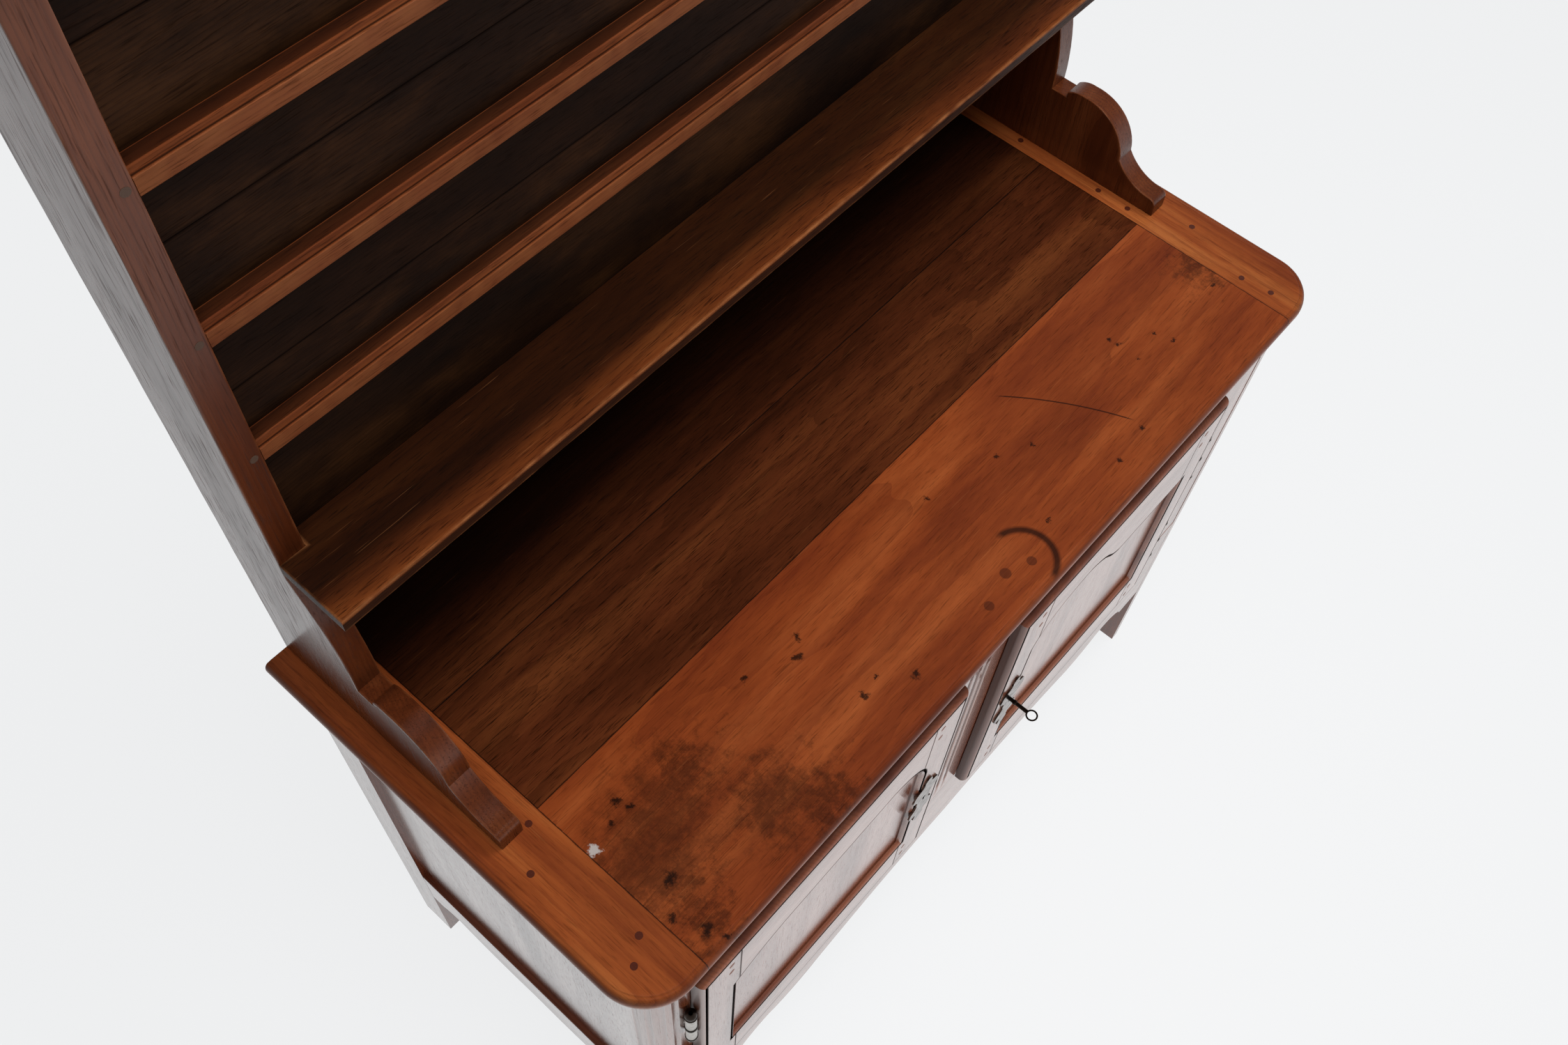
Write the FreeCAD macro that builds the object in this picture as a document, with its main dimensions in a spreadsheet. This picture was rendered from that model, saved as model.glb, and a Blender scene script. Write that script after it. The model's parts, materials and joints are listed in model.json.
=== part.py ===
import FreeCAD, Part
import Sketcher
import os
from math import cos, hypot, pi, sin
from types import SimpleNamespace

# Two-door dresser base with an open plate rack standing on it, in millimetres.
# X runs to the right seen from the front, the doors face -Y and the feet stand on z = 0.

SIZES = {
    # Worktop: three boards between two breadboard ends
    "worktop_width": 1317.0,
    "worktop_depth": 592.0,
    "worktop_height": 970.0,
    "worktop_thickness": 28.0,
    "front_board_depth": 248.0,
    "middle_board_depth": 165.0,
    "end_width": 88.0,
    "end_corner_radius": 65.0,
    "rim_inset": 8.5,
    "rim_drop": 3.0,
    "nosing_radius": 7.5,
    "nosing_under_radius": 6.0,
    "tongue_length": 26.0,
    "tongue_thickness": 9.0,
    "tongue_setback": 24.0,
    # Base frame
    "worktop_overhang": 25.5,
    "base_setback": 5.0,
    "post_width": 60.0,
    "post_depth": 58.0,
    "post_round": 50.0,
    "rail_thickness": 28.0,
    "tenon_length": 30.0,
    "tenon_thickness": 9.0,
    "tenon_shoulder": 9.0,
    "side_top_rail_height": 110.0,
    "side_bottom_rail_height": 98.0,
    "side_rail_clearance": 185.0,
    "apron_clearance": 190.0,
    "back_rail_height": 90.0,
    "panel_thickness": 14.0,
    "panel_recess": 9.0,
    "groove_depth": 10.0,
    "flute_radius": 5.0,
    "flute_depth": 3.0,
    "flute_spacing": 17.0,
    "flute_stop": 60.0,
    "corner_flute_stop": 10.0,
    "base_board_thickness": 14.0,
    "floor_thickness": 18.0,
    "floor_drop": 14.0,
    "inner_shelf_rise": 242.0,
    "inner_shelf_thickness": 18.0,
    "inner_shelf_setback": 70.0,
    "bearer_width": 20.0,
    "bearer_height": 30.0,
    # Doors
    "door_ahead": 5.0,
    "door_proud": 18.0,
    "door_gap": 0.6,
    "door_thickness": 26.4,
    "door_bottom": 418.0,
    "door_top_reveal": 18.0,
    "door_margin": 46.7,
    "door_spacing": 108.4,
    "door_lap": 14.0,
    "door_fit": 2.0,
    "hinge_stile_width": 62.0,
    "lock_stile_width": 62.0,
    "door_top_rail_height": 159.0,
    "door_bottom_rail_height": 96.0,
    "door_panel_thickness": 12.0,
    "door_panel_recess": 8.0,
    "fixed_stile_width": 62.0,
    "narrow_panel_width": 82.9,
    # Hinges
    "barrel_radius": 7.0,
    "barrel_clearance": 1.3,
    "pin_radius": 4.0,
    "pin_clearance": 0.05,
    "pin_end_gap": 0.5,
    "knuckle_length": 46.0,
    "knuckle_gap": 0.3,
    "pin_reach": 38.0,
    "finial_length": 14.0,
    "finial_tip_radius": 2.5,
    "leaf_thickness": 2.5,
    "leaf_height": 34.0,
    "leaf_bite": 16.0,
    # Locks and key
    "lock_rise": 244.0,
    "key_inset": 40.0,
    "case_clearance": 4.0,
    "case_width": 44.0,
    "case_height": 90.0,
    "case_depth": 20.0,
    "case_wall": 2.5,
    "bolt_rise": 14.0,
    "bolt_height": 14.0,
    "bolt_thickness": 8.0,
    "bolt_length": 34.0,
    "bolt_throw": 14.0,
    "bolt_clearance": 0.3,
    "mortise_clearance": 1.0,
    "plate_height": 146.0,
    "plate_width": 48.0,
    "plate_thickness": 2.5,
    "plate_drop": 8.0,
    "key_reach": 48.0,
    "bow_radius": 7.4,
    "bow_wire_radius": 1.2,
    "shank_radius": 2.8,
    "shank_clearance": 0.4,
    "bit_length": 9.0,
    "bit_width": 8.0,
    "bit_thickness": 2.6,
    # Plate rack
    "rack_inset": 32.5,
    "rack_height": 980.0,
    "upright_thickness": 30.0,
    "upright_depth": 111.0,
    "bracket_reach": 239.0,
    "bracket_gap": 8.0,
    "serving_shelf_rise": 318.0,
    "serving_shelf_thickness": 18.0,
    "serving_shelf_depth": 198.0,
    "plate_shelf_depth": 20.0,
    "low_shelf_rise": 480.0,
    "middle_shelf_rise": 632.0,
    "high_shelf_rise": 792.0,
    "shelf_thickness": 22.0,
    "shelf_lip": 15.0,
    "shelf_quirk": 1.5,
    "shelf_cove": 7.0,
    "shelf_tenon_length": 16.0,
    "shelf_tenon_setback": 8.0,
    "shelf_tenon_shoulder": 4.0,
    "rack_board_thickness": 12.0,
    "rack_board_height": 174.0,
    "rack_head_board_height": 101.0,
    "rack_board_rebate": 10.0,
    "top_board_thickness": 20.0,
    "cornice_reach": 22.0,
    "cornice_height": 36.0,
    "cornice_slope": 18.0,
    # Pegs
    "peg_radius": 4.5,
    "peg_clearance": 0.05,
    "peg_length": 18.0,
    "shelf_peg_length": 16.0,
    # Cutters stand past the faces they cut
    "overrun": 1.0,
}

BASE_BOARD_COUNT = 6
LOW_RACK_BOARD_COUNT = 2
HIGH_RACK_BOARD_COUNT = 2

# Bracket outline: share of its reach, share of its rise, bulge of the stretch that follows
BRACKET_SHARES = [
    (0.0, 0.055, -0.40),
    (0.042, 0.092, 0.24),
    (0.293, 0.199, -0.42),
    (0.611, 0.420, -0.20),
    (0.720, 0.390, 0.0),
    (0.720, 0.365, 0.0),
    (0.820, 0.365, -0.126),
    (1.0, 1.0, 0.0),
]
# Underside of each door's top rail from its hinge side: shares of its length and height, bulge
LEFT_ARCH_SHARES = [(0.0, 0.157, -0.125), (0.27, 0.333, 0.0), (0.80, 0.390, -0.36), (1.0, 0.0, 0.0)]
RIGHT_ARCH_SHARES = [
    (0.0, 0.157, 0.0),
    (0.45, 0.170, 0.15),
    (0.56, 0.330, -0.15),
    (0.70, 0.505, -0.08),
    (0.82, 0.470, -0.30),
    (1.0, 0.126, 0.0),
]
# Hinges, as shares of the door's height from its top and from its bottom
UPPER_HINGE_SHARE = 0.304348
LOWER_HINGE_SHARE = 0.250988
# Places of the corner posts' flutes round their quarter turn, from the side to the front
CORNER_FLUTE_SHARES = [0.12, 0.32, 0.52, 0.72]
# Shaped lower edges: shares of the rail's length and height, bulge
APRON_SHARES = [
    (0.0, 0.0, 0.0),
    (0.05, 0.0, -0.35),
    (0.13, 0.17, 0.20),
    (0.22, 0.13, -0.08),
    (0.5, 0.23, -0.08),
    (0.78, 0.13, 0.20),
    (0.87, 0.17, -0.35),
    (0.95, 0.0, 0.0),
    (1.0, 0.0, 0.0),
]
SIDE_RAIL_SHARES = [
    (0.0, 0.0, 0.0),
    (0.06, 0.0, -0.30),
    (0.16, 0.15, 0.10),
    (0.5, 0.05, 0.10),
    (0.84, 0.15, -0.30),
    (0.94, 0.0, 0.0),
    (1.0, 0.0, 0.0),
]
# Right half of a lock plate from its foot to its head: shares of half its width and its height, bulge
PLATE_SHARES = [
    (0.0, 0.0, 0.30),
    (0.45, 0.09, -0.25),
    (0.40, 0.19, 0.60),
    (0.95, 0.27, 0.25),
    (0.70, 0.37, -0.35),
    (0.62, 0.50, -0.30),
    (0.80, 0.62, 0.45),
    (1.0, 0.74, 0.40),
    (0.50, 0.84, -0.30),
    (0.30, 0.92, 0.35),
]
# Bulge of a quarter circle, drawn against the clock
ROUND_BULGE_SHARE = -0.4142
# Part of a door's top rail that its tenon takes up
TOP_TENON_SHARE = 0.42
# Peg places on the breadboard ends: shares of the end's width from the joint and of its depth from the front
LEFT_END_PEG_SHARES = [(0.28, 0.125), (0.20, 0.41), (0.57, 0.095), (0.61, 0.341), (0.20, 0.70)]
RIGHT_END_PEG_SHARES = [
    (0.20, 0.149), (0.26, 0.076), (0.17, 0.463), (0.17, 0.547), (0.56, 0.319), (0.20, 0.78)]
PEG_PAIR_SHARES = [0.3, 0.7]


class Size:
    """A length that keeps its number and the sheet formula that gives it."""

    def __init__(self, value, text):
        self.value = value
        self.text = text

    def joined(self, sign, other, value):
        return Size(value, f"({self.text} {sign} {text_of(other)})")

    def __add__(self, other):
        return self.joined("+", other, self.value + value_of(other))

    def __radd__(self, other):
        return self + other

    def __sub__(self, other):
        return self.joined("-", other, self.value - value_of(other))

    def __rsub__(self, other):
        return -self + other

    def __mul__(self, share):
        return self.joined("*", share, self.value * value_of(share))

    def __rmul__(self, share):
        return self * share

    def __truediv__(self, share):
        return self.joined("/", share, self.value / value_of(share))

    def __neg__(self):
        return self * -1


def value_of(thing):
    return thing.value if isinstance(thing, Size) else thing


def text_of(thing):
    return thing.text if isinstance(thing, Size) else repr(thing)


def length_between(across, up):
    text = f"sqrt({text_of(across)} ^ 2 + {text_of(up)} ^ 2)"
    return Size(hypot(value_of(across), value_of(up)), text)


doc = FreeCAD.newDocument("Dresser")
sheet = doc.addObject("Spreadsheet::Sheet", "Sizes")
for row, (alias, number) in enumerate(SIZES.items(), 1):
    sheet.set(f"A{row}", alias)
    sheet.set(f"B{row}", str(number))
    sheet.setAlias(f"B{row}", alias)
doc.recompute()
s = SimpleNamespace(**{alias: Size(number, f"Sizes.{alias}") for alias, number in SIZES.items()})

nothing = Size(0.0, "0")
nodes = []


def bind(thing, **sizes):
    for prop, size in sizes.items():
        thing.setExpression(prop, text_of(size))


def place(thing, x, y, z):
    for axis, size in zip("xyz", (x, y, z)):
        thing.setExpression(f".Placement.Base.{axis}", text_of(size))


def keep(node, thing):
    thing.Label = node
    nodes.append(thing)
    return thing


def box(name, middle, width, front, depth, bottom, height):
    block = doc.addObject("Part::Box", name)
    bind(block, Length=width, Width=depth, Height=height)
    place(block, middle - width / 2, front, bottom)
    return block


TURNS = {
    "z": FreeCAD.Rotation(),
    "y": FreeCAD.Rotation(FreeCAD.Vector(1, 0, 0), -90),
}


def rod(name, axis, radius, length, x, y, z):
    """A cylinder that starts at the given point and runs along the positive axis."""
    cylinder = doc.addObject("Part::Cylinder", name)
    bind(cylinder, Radius=radius, Height=length)
    cylinder.Placement = FreeCAD.Placement(FreeCAD.Vector(), TURNS[axis])
    place(cylinder, x, y, z)
    return cylinder


def taper(name, low_radius, high_radius, length, x, y, z):
    cone = doc.addObject("Part::Cone", name)
    bind(cone, Radius1=low_radius, Radius2=high_radius, Height=length)
    place(cone, x, y, z)
    return cone


def fuse(name, *pieces):
    joined = doc.addObject("Part::MultiFuse", name)
    joined.Shapes = list(pieces)
    joined.Refine = True
    return joined


def group(name, *pieces):
    solids = doc.addObject("Part::Compound", name)
    solids.Links = list(pieces)
    return solids


def cut(name, base, *tools):
    result = doc.addObject("Part::Cut", name)
    result.Base = base
    result.Tool = tools[0] if len(tools) == 1 else fuse(name + "_tools", *tools)
    return result


def mirror(name, source, plane):
    other = doc.addObject("Part::Mirroring", name)
    other.Source = source
    other.Normal = FreeCAD.Vector(1, 0, 0)
    other.setExpression(".Base.x", text_of(plane))
    return other


def add_outline(sketch, points):
    """Draw a closed outline of lines and arcs, each corner held by its two sizes."""
    starts, ends, rules = [], [], []
    for index, (x, y, bulge) in enumerate(points):
        next_x, next_y, _ = points[(index + 1) % len(points)]
        across, up = next_x - x, next_y - y
        here = FreeCAD.Vector(value_of(x), value_of(y), 0)
        there = FreeCAD.Vector(value_of(next_x), value_of(next_y), 0)
        if not bulge:
            edge = sketch.addGeometry(Part.LineSegment(here, there), False)
        else:
            crown = FreeCAD.Vector(value_of(up), -value_of(across), 0) * (bulge / 2)
            middle = (here + there) * 0.5 + crown
            first, last = (here, there) if bulge > 0 else (there, here)
            edge = sketch.addGeometry(Part.Arc(first, middle, last), False)
        starts.append((edge, 1 if bulge >= 0 else 2))
        ends.append((edge, 2 if bulge >= 0 else 1))
        rules.append(("DistanceX", starts[-1], x))
        rules.append(("DistanceY", starts[-1], y))
        if bulge:
            radius = length_between(across, up) * ((1 / abs(bulge) + abs(bulge)) / 4)
            rules.append(("Radius", (edge,), radius))
    for end, start in zip(ends, starts[1:] + starts[:1]):
        sketch.addConstraint(Sketcher.Constraint("Coincident", *end, *start))
    for kind, where, size in rules:
        anchor = () if kind == "Radius" else (-1, 1)
        rule = sketch.addConstraint(Sketcher.Constraint(kind, *anchor, *where, value_of(size)))
        sketch.setExpression(f"Constraints[{rule}]", text_of(size))


def new_sketch(body, name, plane):
    sketch = body.newObject("Sketcher::SketchObject", name)
    support = [feature for feature in body.Origin.OriginFeatures if feature.Role == plane][0]
    sketch.AttachmentSupport = (support, [""])
    sketch.MapMode = "FlatFace"
    return sketch


def add_pad(body, name, plane, points, depth):
    sketch = new_sketch(body, name + "_sketch", plane)
    add_outline(sketch, points)
    pad = body.newObject("PartDesign::Pad", name + "_pad")
    pad.Profile = sketch
    pad.setExpression("Length", text_of(depth))
    return pad


def shaped(name, plane, points, depth, x, y, z):
    """A board of a drawn outline. XY pads go up, YZ pads to +X and XZ pads to -Y."""
    body = doc.addObject("PartDesign::Body", name)
    add_pad(body, name, plane, points, depth)
    place(body, x, y, z)
    return body


def scaled(shares, length, height):
    return [(length * along, height * up, bulge) for along, up, bulge in shares]


# Places that several pieces share
back = (s.worktop_depth + s.door_ahead + s.key_reach) / 2
worktop_front = back - s.worktop_depth
door_face = worktop_front - s.door_ahead
carcass_face = door_face + s.door_proud
lip_thickness = s.door_proud - s.door_gap
carcass_back = back - s.base_setback
carcass_depth = carcass_back - carcass_face
base_height = s.worktop_height - s.worktop_thickness
base_width = s.worktop_width - s.worktop_overhang * 2
half_base = base_width / 2
post_middle = s.post_width / 2 - half_base
post_inner = half_base - s.post_width
side_front = carcass_face + s.post_depth
side_length = carcass_depth - s.post_depth - s.post_depth
rail_inset = s.rail_thickness - s.tenon_thickness
tenon_back = rail_inset / 2
door_top = base_height - s.door_top_reveal
beside_doors = s.door_margin + s.fixed_stile_width - s.door_lap + s.narrow_panel_width + s.post_width
door_width = (base_width - s.door_spacing - beside_doors) / 2
left_door_edge = s.door_margin - half_base
left_lock_edge = left_door_edge + door_width
doors_middle = left_lock_edge + s.door_spacing / 2
door_height = door_top - s.door_bottom
lock_level = s.door_bottom + s.lock_rise
centre_post_width = s.door_spacing + s.door_lap + s.door_lap
top_rail_bottom = door_top - s.door_lap
bottom_rail_top = s.door_bottom + s.door_lap
axis_offset = s.barrel_radius + s.barrel_clearance
hinge_x = left_door_edge - axis_offset
hinge_y = carcass_face - axis_offset
peg_bore = s.peg_radius + s.peg_clearance


# Hinges and locks of the left door come first, because the frames are cut to take them

def hinge_pins(level, name):
    """Fixed half of one hinge: lower knuckle, pin, finial and the leaf let into the frame."""
    low = level - s.knuckle_length
    knuckle = rod(name + "_knuckle", "z", s.barrel_radius, s.knuckle_length - s.knuckle_gap,
                  hinge_x, hinge_y, low)
    pin = rod(name + "_pin", "z", s.pin_radius, s.knuckle_length + s.pin_reach, hinge_x, hinge_y, low)
    finial = taper(name + "_finial", s.finial_tip_radius, s.barrel_radius, s.finial_length,
                   hinge_x, hinge_y, low - s.finial_length)
    leaf = box(name + "_leaf", hinge_x, s.leaf_thickness, hinge_y, axis_offset + s.leaf_bite,
               low + (s.knuckle_length - s.leaf_height) / 2, s.leaf_height)
    return fuse(name, knuckle, pin, finial, leaf)


def hinge_knuckle(level, name):
    """Moving half of one hinge: bored upper knuckle, finial and the leaf let into the stile."""
    barrel = rod(name + "_barrel", "z", s.barrel_radius, s.knuckle_length, hinge_x, hinge_y, level)
    finial = taper(name + "_finial", s.barrel_radius, s.finial_tip_radius, s.finial_length,
                   hinge_x, hinge_y, level + s.knuckle_length)
    leaf_reach = axis_offset + s.leaf_bite
    leaf = box(name + "_leaf", hinge_x + leaf_reach / 2, leaf_reach, hinge_y - s.leaf_thickness / 2,
               s.leaf_thickness, level + (s.knuckle_length - s.leaf_height) / 2, s.leaf_height)
    bore = rod(name + "_bore", "z", s.pin_radius + s.pin_clearance, s.pin_reach + s.pin_end_gap + s.overrun,
               hinge_x, hinge_y, level - s.overrun)
    return cut(name, fuse(name + "_blank", barrel, finial, leaf), bore)


hinge_levels = {"upper": door_top - door_height * UPPER_HINGE_SHARE,
                "lower": s.door_bottom + door_height * LOWER_HINGE_SHARE}
left_pins = group("left_pins", *[hinge_pins(level, f"{word}_pin") for word, level in hinge_levels.items()])
left_knuckles = group(
    "left_knuckles", *[hinge_knuckle(level, f"{word}_knuckle") for word, level in hinge_levels.items()])
keep("left_hinge_pins", left_pins)
keep("left_hinge_knuckles", left_knuckles)
right_pins = keep("right_hinge_pins", mirror("right_pins", left_pins, doors_middle))
keep("right_hinge_knuckles", mirror("right_knuckles", left_knuckles, doors_middle))

# Lock case, bolt and keyhole on the back of the left door
door_back = door_face + s.door_thickness
case_edge = left_lock_edge - s.door_lap - s.case_clearance
case_middle = case_edge - s.case_width / 2
key_x = left_lock_edge - s.key_inset
bolt_bottom = lock_level + s.bolt_rise
bolt_front = door_back + (s.case_depth - s.case_wall - s.bolt_thickness) / 2
slot_height = s.bolt_height + s.bolt_clearance + s.bolt_clearance
slot_thickness = s.bolt_thickness + s.bolt_clearance + s.bolt_clearance
slot_bottom = bolt_bottom - s.bolt_clearance
slot_front = bolt_front - s.bolt_clearance
case_bottom = lock_level - s.case_height / 2
case_block = box("case_block", case_middle, s.case_width, door_back, s.case_depth, case_bottom, s.case_height)
case_hollow = box("case_hollow", case_middle, s.case_width - s.case_wall * 2, door_back - s.overrun,
                  s.case_depth - s.case_wall + s.overrun, case_bottom + s.case_wall,
                  s.case_height - s.case_wall * 2)
case_slot = box("case_slot", case_edge, s.case_wall * 2 + s.overrun, slot_front, slot_thickness,
                slot_bottom, slot_height)
left_case = keep("left_lock_case", cut("left_case", case_block, case_hollow, case_slot))
keep("right_lock_case", mirror("right_case", left_case, doors_middle))
left_bolt = keep("left_lock_bolt", box("left_bolt", case_edge - s.bolt_length / 2, s.bolt_length, bolt_front,
                                       s.bolt_thickness, bolt_bottom, s.bolt_height))
keep("right_lock_bolt", mirror("right_bolt", left_bolt, doors_middle))
mortise_depth = s.bolt_throw - s.case_clearance + s.overrun
bolt_mortise = box("bolt_mortise", case_edge + s.case_clearance + (mortise_depth - s.overrun) / 2,
                   mortise_depth + s.overrun, bolt_front - s.mortise_clearance,
                   s.bolt_thickness + s.mortise_clearance * 2, bolt_bottom - s.mortise_clearance,
                   s.bolt_height + s.mortise_clearance * 2)
other_mortise = mirror("other_mortise", bolt_mortise, doors_middle)

# Keyhole: a round hole for the shank and a slot below it for the bit
keyhole_front = door_face - s.plate_thickness - s.overrun
keyhole_depth = door_back - keyhole_front + s.overrun
hole_radius = s.shank_radius + s.shank_clearance
bit_room = s.bit_length + s.shank_clearance
keyhole = fuse(
    "keyhole",
    rod("key_round", "y", hole_radius, keyhole_depth, key_x, keyhole_front, lock_level),
    box("key_slot", key_x, s.bit_thickness + s.shank_clearance * 2, keyhole_front, keyhole_depth,
        lock_level - bit_room, bit_room))

# The key stands in the right door, with its bow and bit level
right_key_x = doors_middle * 2 - key_x
bow_y = door_face - s.key_reach + s.bow_radius + s.bow_wire_radius
key_tip = door_back + s.case_depth - s.case_wall - s.shank_clearance
bow = doc.addObject("Part::Torus", "bow")
bind(bow, Radius1=s.bow_radius, Radius2=s.bow_wire_radius)
place(bow, right_key_x, bow_y, lock_level)
shank = rod("shank", "y", s.shank_radius, key_tip - bow_y - s.bow_radius, right_key_x, bow_y + s.bow_radius,
            lock_level)
bit_end = door_back + s.bit_width + s.shank_clearance
bit = box("bit", right_key_x + s.bit_length / 2, s.bit_length, bit_end - s.bit_width, s.bit_width,
          lock_level - s.bit_thickness / 2, s.bit_thickness)
keep("key", fuse("key_piece", bow, shank, bit))

# Doors: both are drawn in the left door's place, and the right one is mirrored across
opening_width = door_width - s.hinge_stile_width - s.lock_stile_width
opening_left = left_door_edge + s.hinge_stile_width
opening_middle = opening_left + opening_width / 2
opening_bottom = s.door_bottom + s.door_bottom_rail_height
top_rail_z = door_top - s.door_top_rail_height
tenon_span = opening_width + s.tenon_length * 2
door_tenon_front = door_face + (lip_thickness - s.tenon_thickness) / 2
top_tenon_height = s.door_top_rail_height * TOP_TENON_SHARE
top_tenon_bottom = door_top - top_tenon_height - s.tenon_shoulder
bottom_tenon_z = s.door_bottom + s.tenon_shoulder
bottom_tenon_height = s.door_bottom_rail_height - s.tenon_shoulder * 2 - s.groove_depth
top_tenon = box("door_top_tenon", opening_middle, tenon_span, door_tenon_front, s.tenon_thickness,
                top_tenon_bottom, top_tenon_height)
bottom_tenon = box("door_bottom_tenon", opening_middle, tenon_span, door_tenon_front, s.tenon_thickness,
                   bottom_tenon_z, bottom_tenon_height)

peg_rows = []
for word, bottom, height in [("top", top_tenon_bottom, top_tenon_height),
                             ("bottom", bottom_tenon_z, bottom_tenon_height)]:
    for side, x in [("hinge", opening_left - s.tenon_length / 2),
                    ("lock", opening_left + opening_width + s.tenon_length / 2)]:
        for count, share in enumerate(PEG_PAIR_SHARES):
            peg_rows.append((f"{word}_{side}_{count}", x, bottom + height * share))
door_pegs = [rod(f"peg_{name}", "y", s.peg_radius, s.peg_length, x, door_face, z) for name, x, z in peg_rows]
door_peg_bores = fuse("door_peg_bores", *[
    rod(f"bore_{name}", "y", peg_bore, s.peg_length + s.overrun, x, door_face - s.overrun, z)
    for name, x, z in peg_rows])

# The back of each door is rebated all round, so that its lip laps over the frame
rebate_width = s.door_lap + s.door_fit
rebate_front = door_face + lip_thickness
rebate_depth = s.door_thickness - lip_thickness + s.overrun
rebate_reach = rebate_width + s.overrun
door_middle = left_door_edge + door_width / 2
door_rebate = fuse(
    "door_rebate",
    box("hinge_rebate", left_door_edge + (rebate_width - s.overrun) / 2, rebate_reach, rebate_front,
        rebate_depth, s.door_bottom - s.overrun, door_height + s.overrun * 2),
    box("lock_rebate", left_lock_edge - (rebate_width - s.overrun) / 2, rebate_reach, rebate_front,
        rebate_depth, s.door_bottom - s.overrun, door_height + s.overrun * 2),
    box("low_rebate", door_middle, door_width, rebate_front, rebate_depth, s.door_bottom - s.overrun,
        rebate_reach),
    box("high_rebate", door_middle, door_width, rebate_front, rebate_depth, door_top - rebate_width,
        rebate_reach))


def keep_door(side, word, piece):
    if side == "right":
        piece = mirror(f"right_{word}", piece, doors_middle)
    keep(f"{side}_door_{word}", piece)


def build_door(side, arch_shares):
    """Frame and panel of one door, with its own arch."""
    arch = scaled(arch_shares, opening_width, s.door_top_rail_height)
    rail_outline = arch + [(opening_width, s.door_top_rail_height, 0), (nothing, s.door_top_rail_height, 0)]
    panel_width = opening_width + s.groove_depth * 2
    panel_rise = top_rail_z - opening_bottom + s.groove_depth * 2
    crown = [(x + s.groove_depth, y + panel_rise, bulge) for x, y, bulge in arch]
    crown[0] = (nothing, *crown[0][1:])
    crown[-1] = (panel_width, *crown[-1][1:])
    panel_outline = crown + [(panel_width, nothing, 0), (nothing, nothing, 0)]
    panel = shaped(f"{side}_drawn_panel", "XZ_Plane", panel_outline, s.door_panel_thickness,
                   opening_left - s.groove_depth,
                   door_face + s.door_panel_recess + s.door_panel_thickness, opening_bottom - s.groove_depth)
    hinge_stile = box(f"{side}_hinge_bar", left_door_edge + s.hinge_stile_width / 2, s.hinge_stile_width,
                      door_face, s.door_thickness, s.door_bottom, door_height)
    lock_stile = box(f"{side}_lock_bar", left_lock_edge - s.lock_stile_width / 2, s.lock_stile_width,
                     door_face, s.door_thickness, s.door_bottom, door_height)
    top_bar = shaped(f"{side}_top_bar", "XZ_Plane", rail_outline, s.door_thickness, opening_left, door_back,
                     top_rail_z)
    bottom_bar = box(f"{side}_bottom_bar", opening_middle, opening_width, door_face, s.door_thickness,
                     s.door_bottom, s.door_bottom_rail_height)
    top_whole = fuse(f"{side}_top_whole", top_bar, top_tenon)
    bottom_whole = fuse(f"{side}_bottom_whole", bottom_bar, bottom_tenon)
    shared_cuts = [panel, door_rebate, door_peg_bores]
    keep_door(side, "panel", panel)
    keep_door(side, "hinge_stile", cut(f"{side}_drawn_hinge_stile", hinge_stile, top_tenon, bottom_tenon,
                                       left_knuckles, *shared_cuts))
    keep_door(side, "lock_stile", cut(f"{side}_drawn_lock_stile", lock_stile, top_tenon, bottom_tenon,
                                      keyhole, *shared_cuts))
    keep_door(side, "top_rail", cut(f"{side}_drawn_top_rail", top_whole, *shared_cuts))
    keep_door(side, "bottom_rail", cut(f"{side}_drawn_bottom_rail", bottom_whole, *shared_cuts))


build_door("left", LEFT_ARCH_SHARES)
build_door("right", RIGHT_ARCH_SHARES)


def door_pair(word, piece):
    for side in ("left", "right"):
        keep_door(side, word, piece)


door_pair("pegs", group("door_pegs", *door_pegs))

# Lock plates: one outline, mirrored about its own middle line
half_plate = scaled(PLATE_SHARES, s.plate_width / 2, s.plate_height)
right_half = [(x + s.plate_width / 2, y, bulge) for x, y, bulge in half_plate]
plate_head = (s.plate_width / 2, s.plate_height, PLATE_SHARES[-1][2])
left_points = [(s.plate_width / 2 - x, y) for x, y, _ in half_plate[1:]][::-1]
left_bulges = [bulge for _, _, bulge in half_plate][::-1][1:]
left_half = [(x, y, bulge) for (x, y), bulge in zip(left_points, left_bulges)]
plate_blank = shaped("plate_blank", "XZ_Plane", right_half + [plate_head] + left_half, s.plate_thickness,
                     key_x - s.plate_width / 2, door_face, lock_level - s.plate_drop - s.plate_height / 2)
door_pair("lock_plate", cut("lock_plate", plate_blank, keyhole))

# Front frame of the base
flute_axis = s.flute_radius - s.flute_depth


def flutes(name, middle, bottom, top):
    rows = []
    for count in (-1, 0, 1):
        rows.append(rod(f"{name}_{count + 1}", "z", s.flute_radius, top - bottom - s.flute_stop * 2,
                        middle + s.flute_spacing * count, carcass_face - flute_axis, bottom + s.flute_stop))
    return fuse(name, *rows)


def rail_across(name, left, right, bottom, height, front):
    """A rail between two posts with a tenon right through to both ends."""
    middle, width = (left + right) / 2, right - left
    bar = box(f"{name}_bar", middle, width, front, s.rail_thickness, bottom, height)
    tenon = box(f"{name}_tenon", middle, width + s.tenon_length * 2, front + tenon_back, s.tenon_thickness,
                bottom + s.tenon_shoulder, height - s.tenon_shoulder * 2)
    return fuse(name, bar, tenon), tenon


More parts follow.
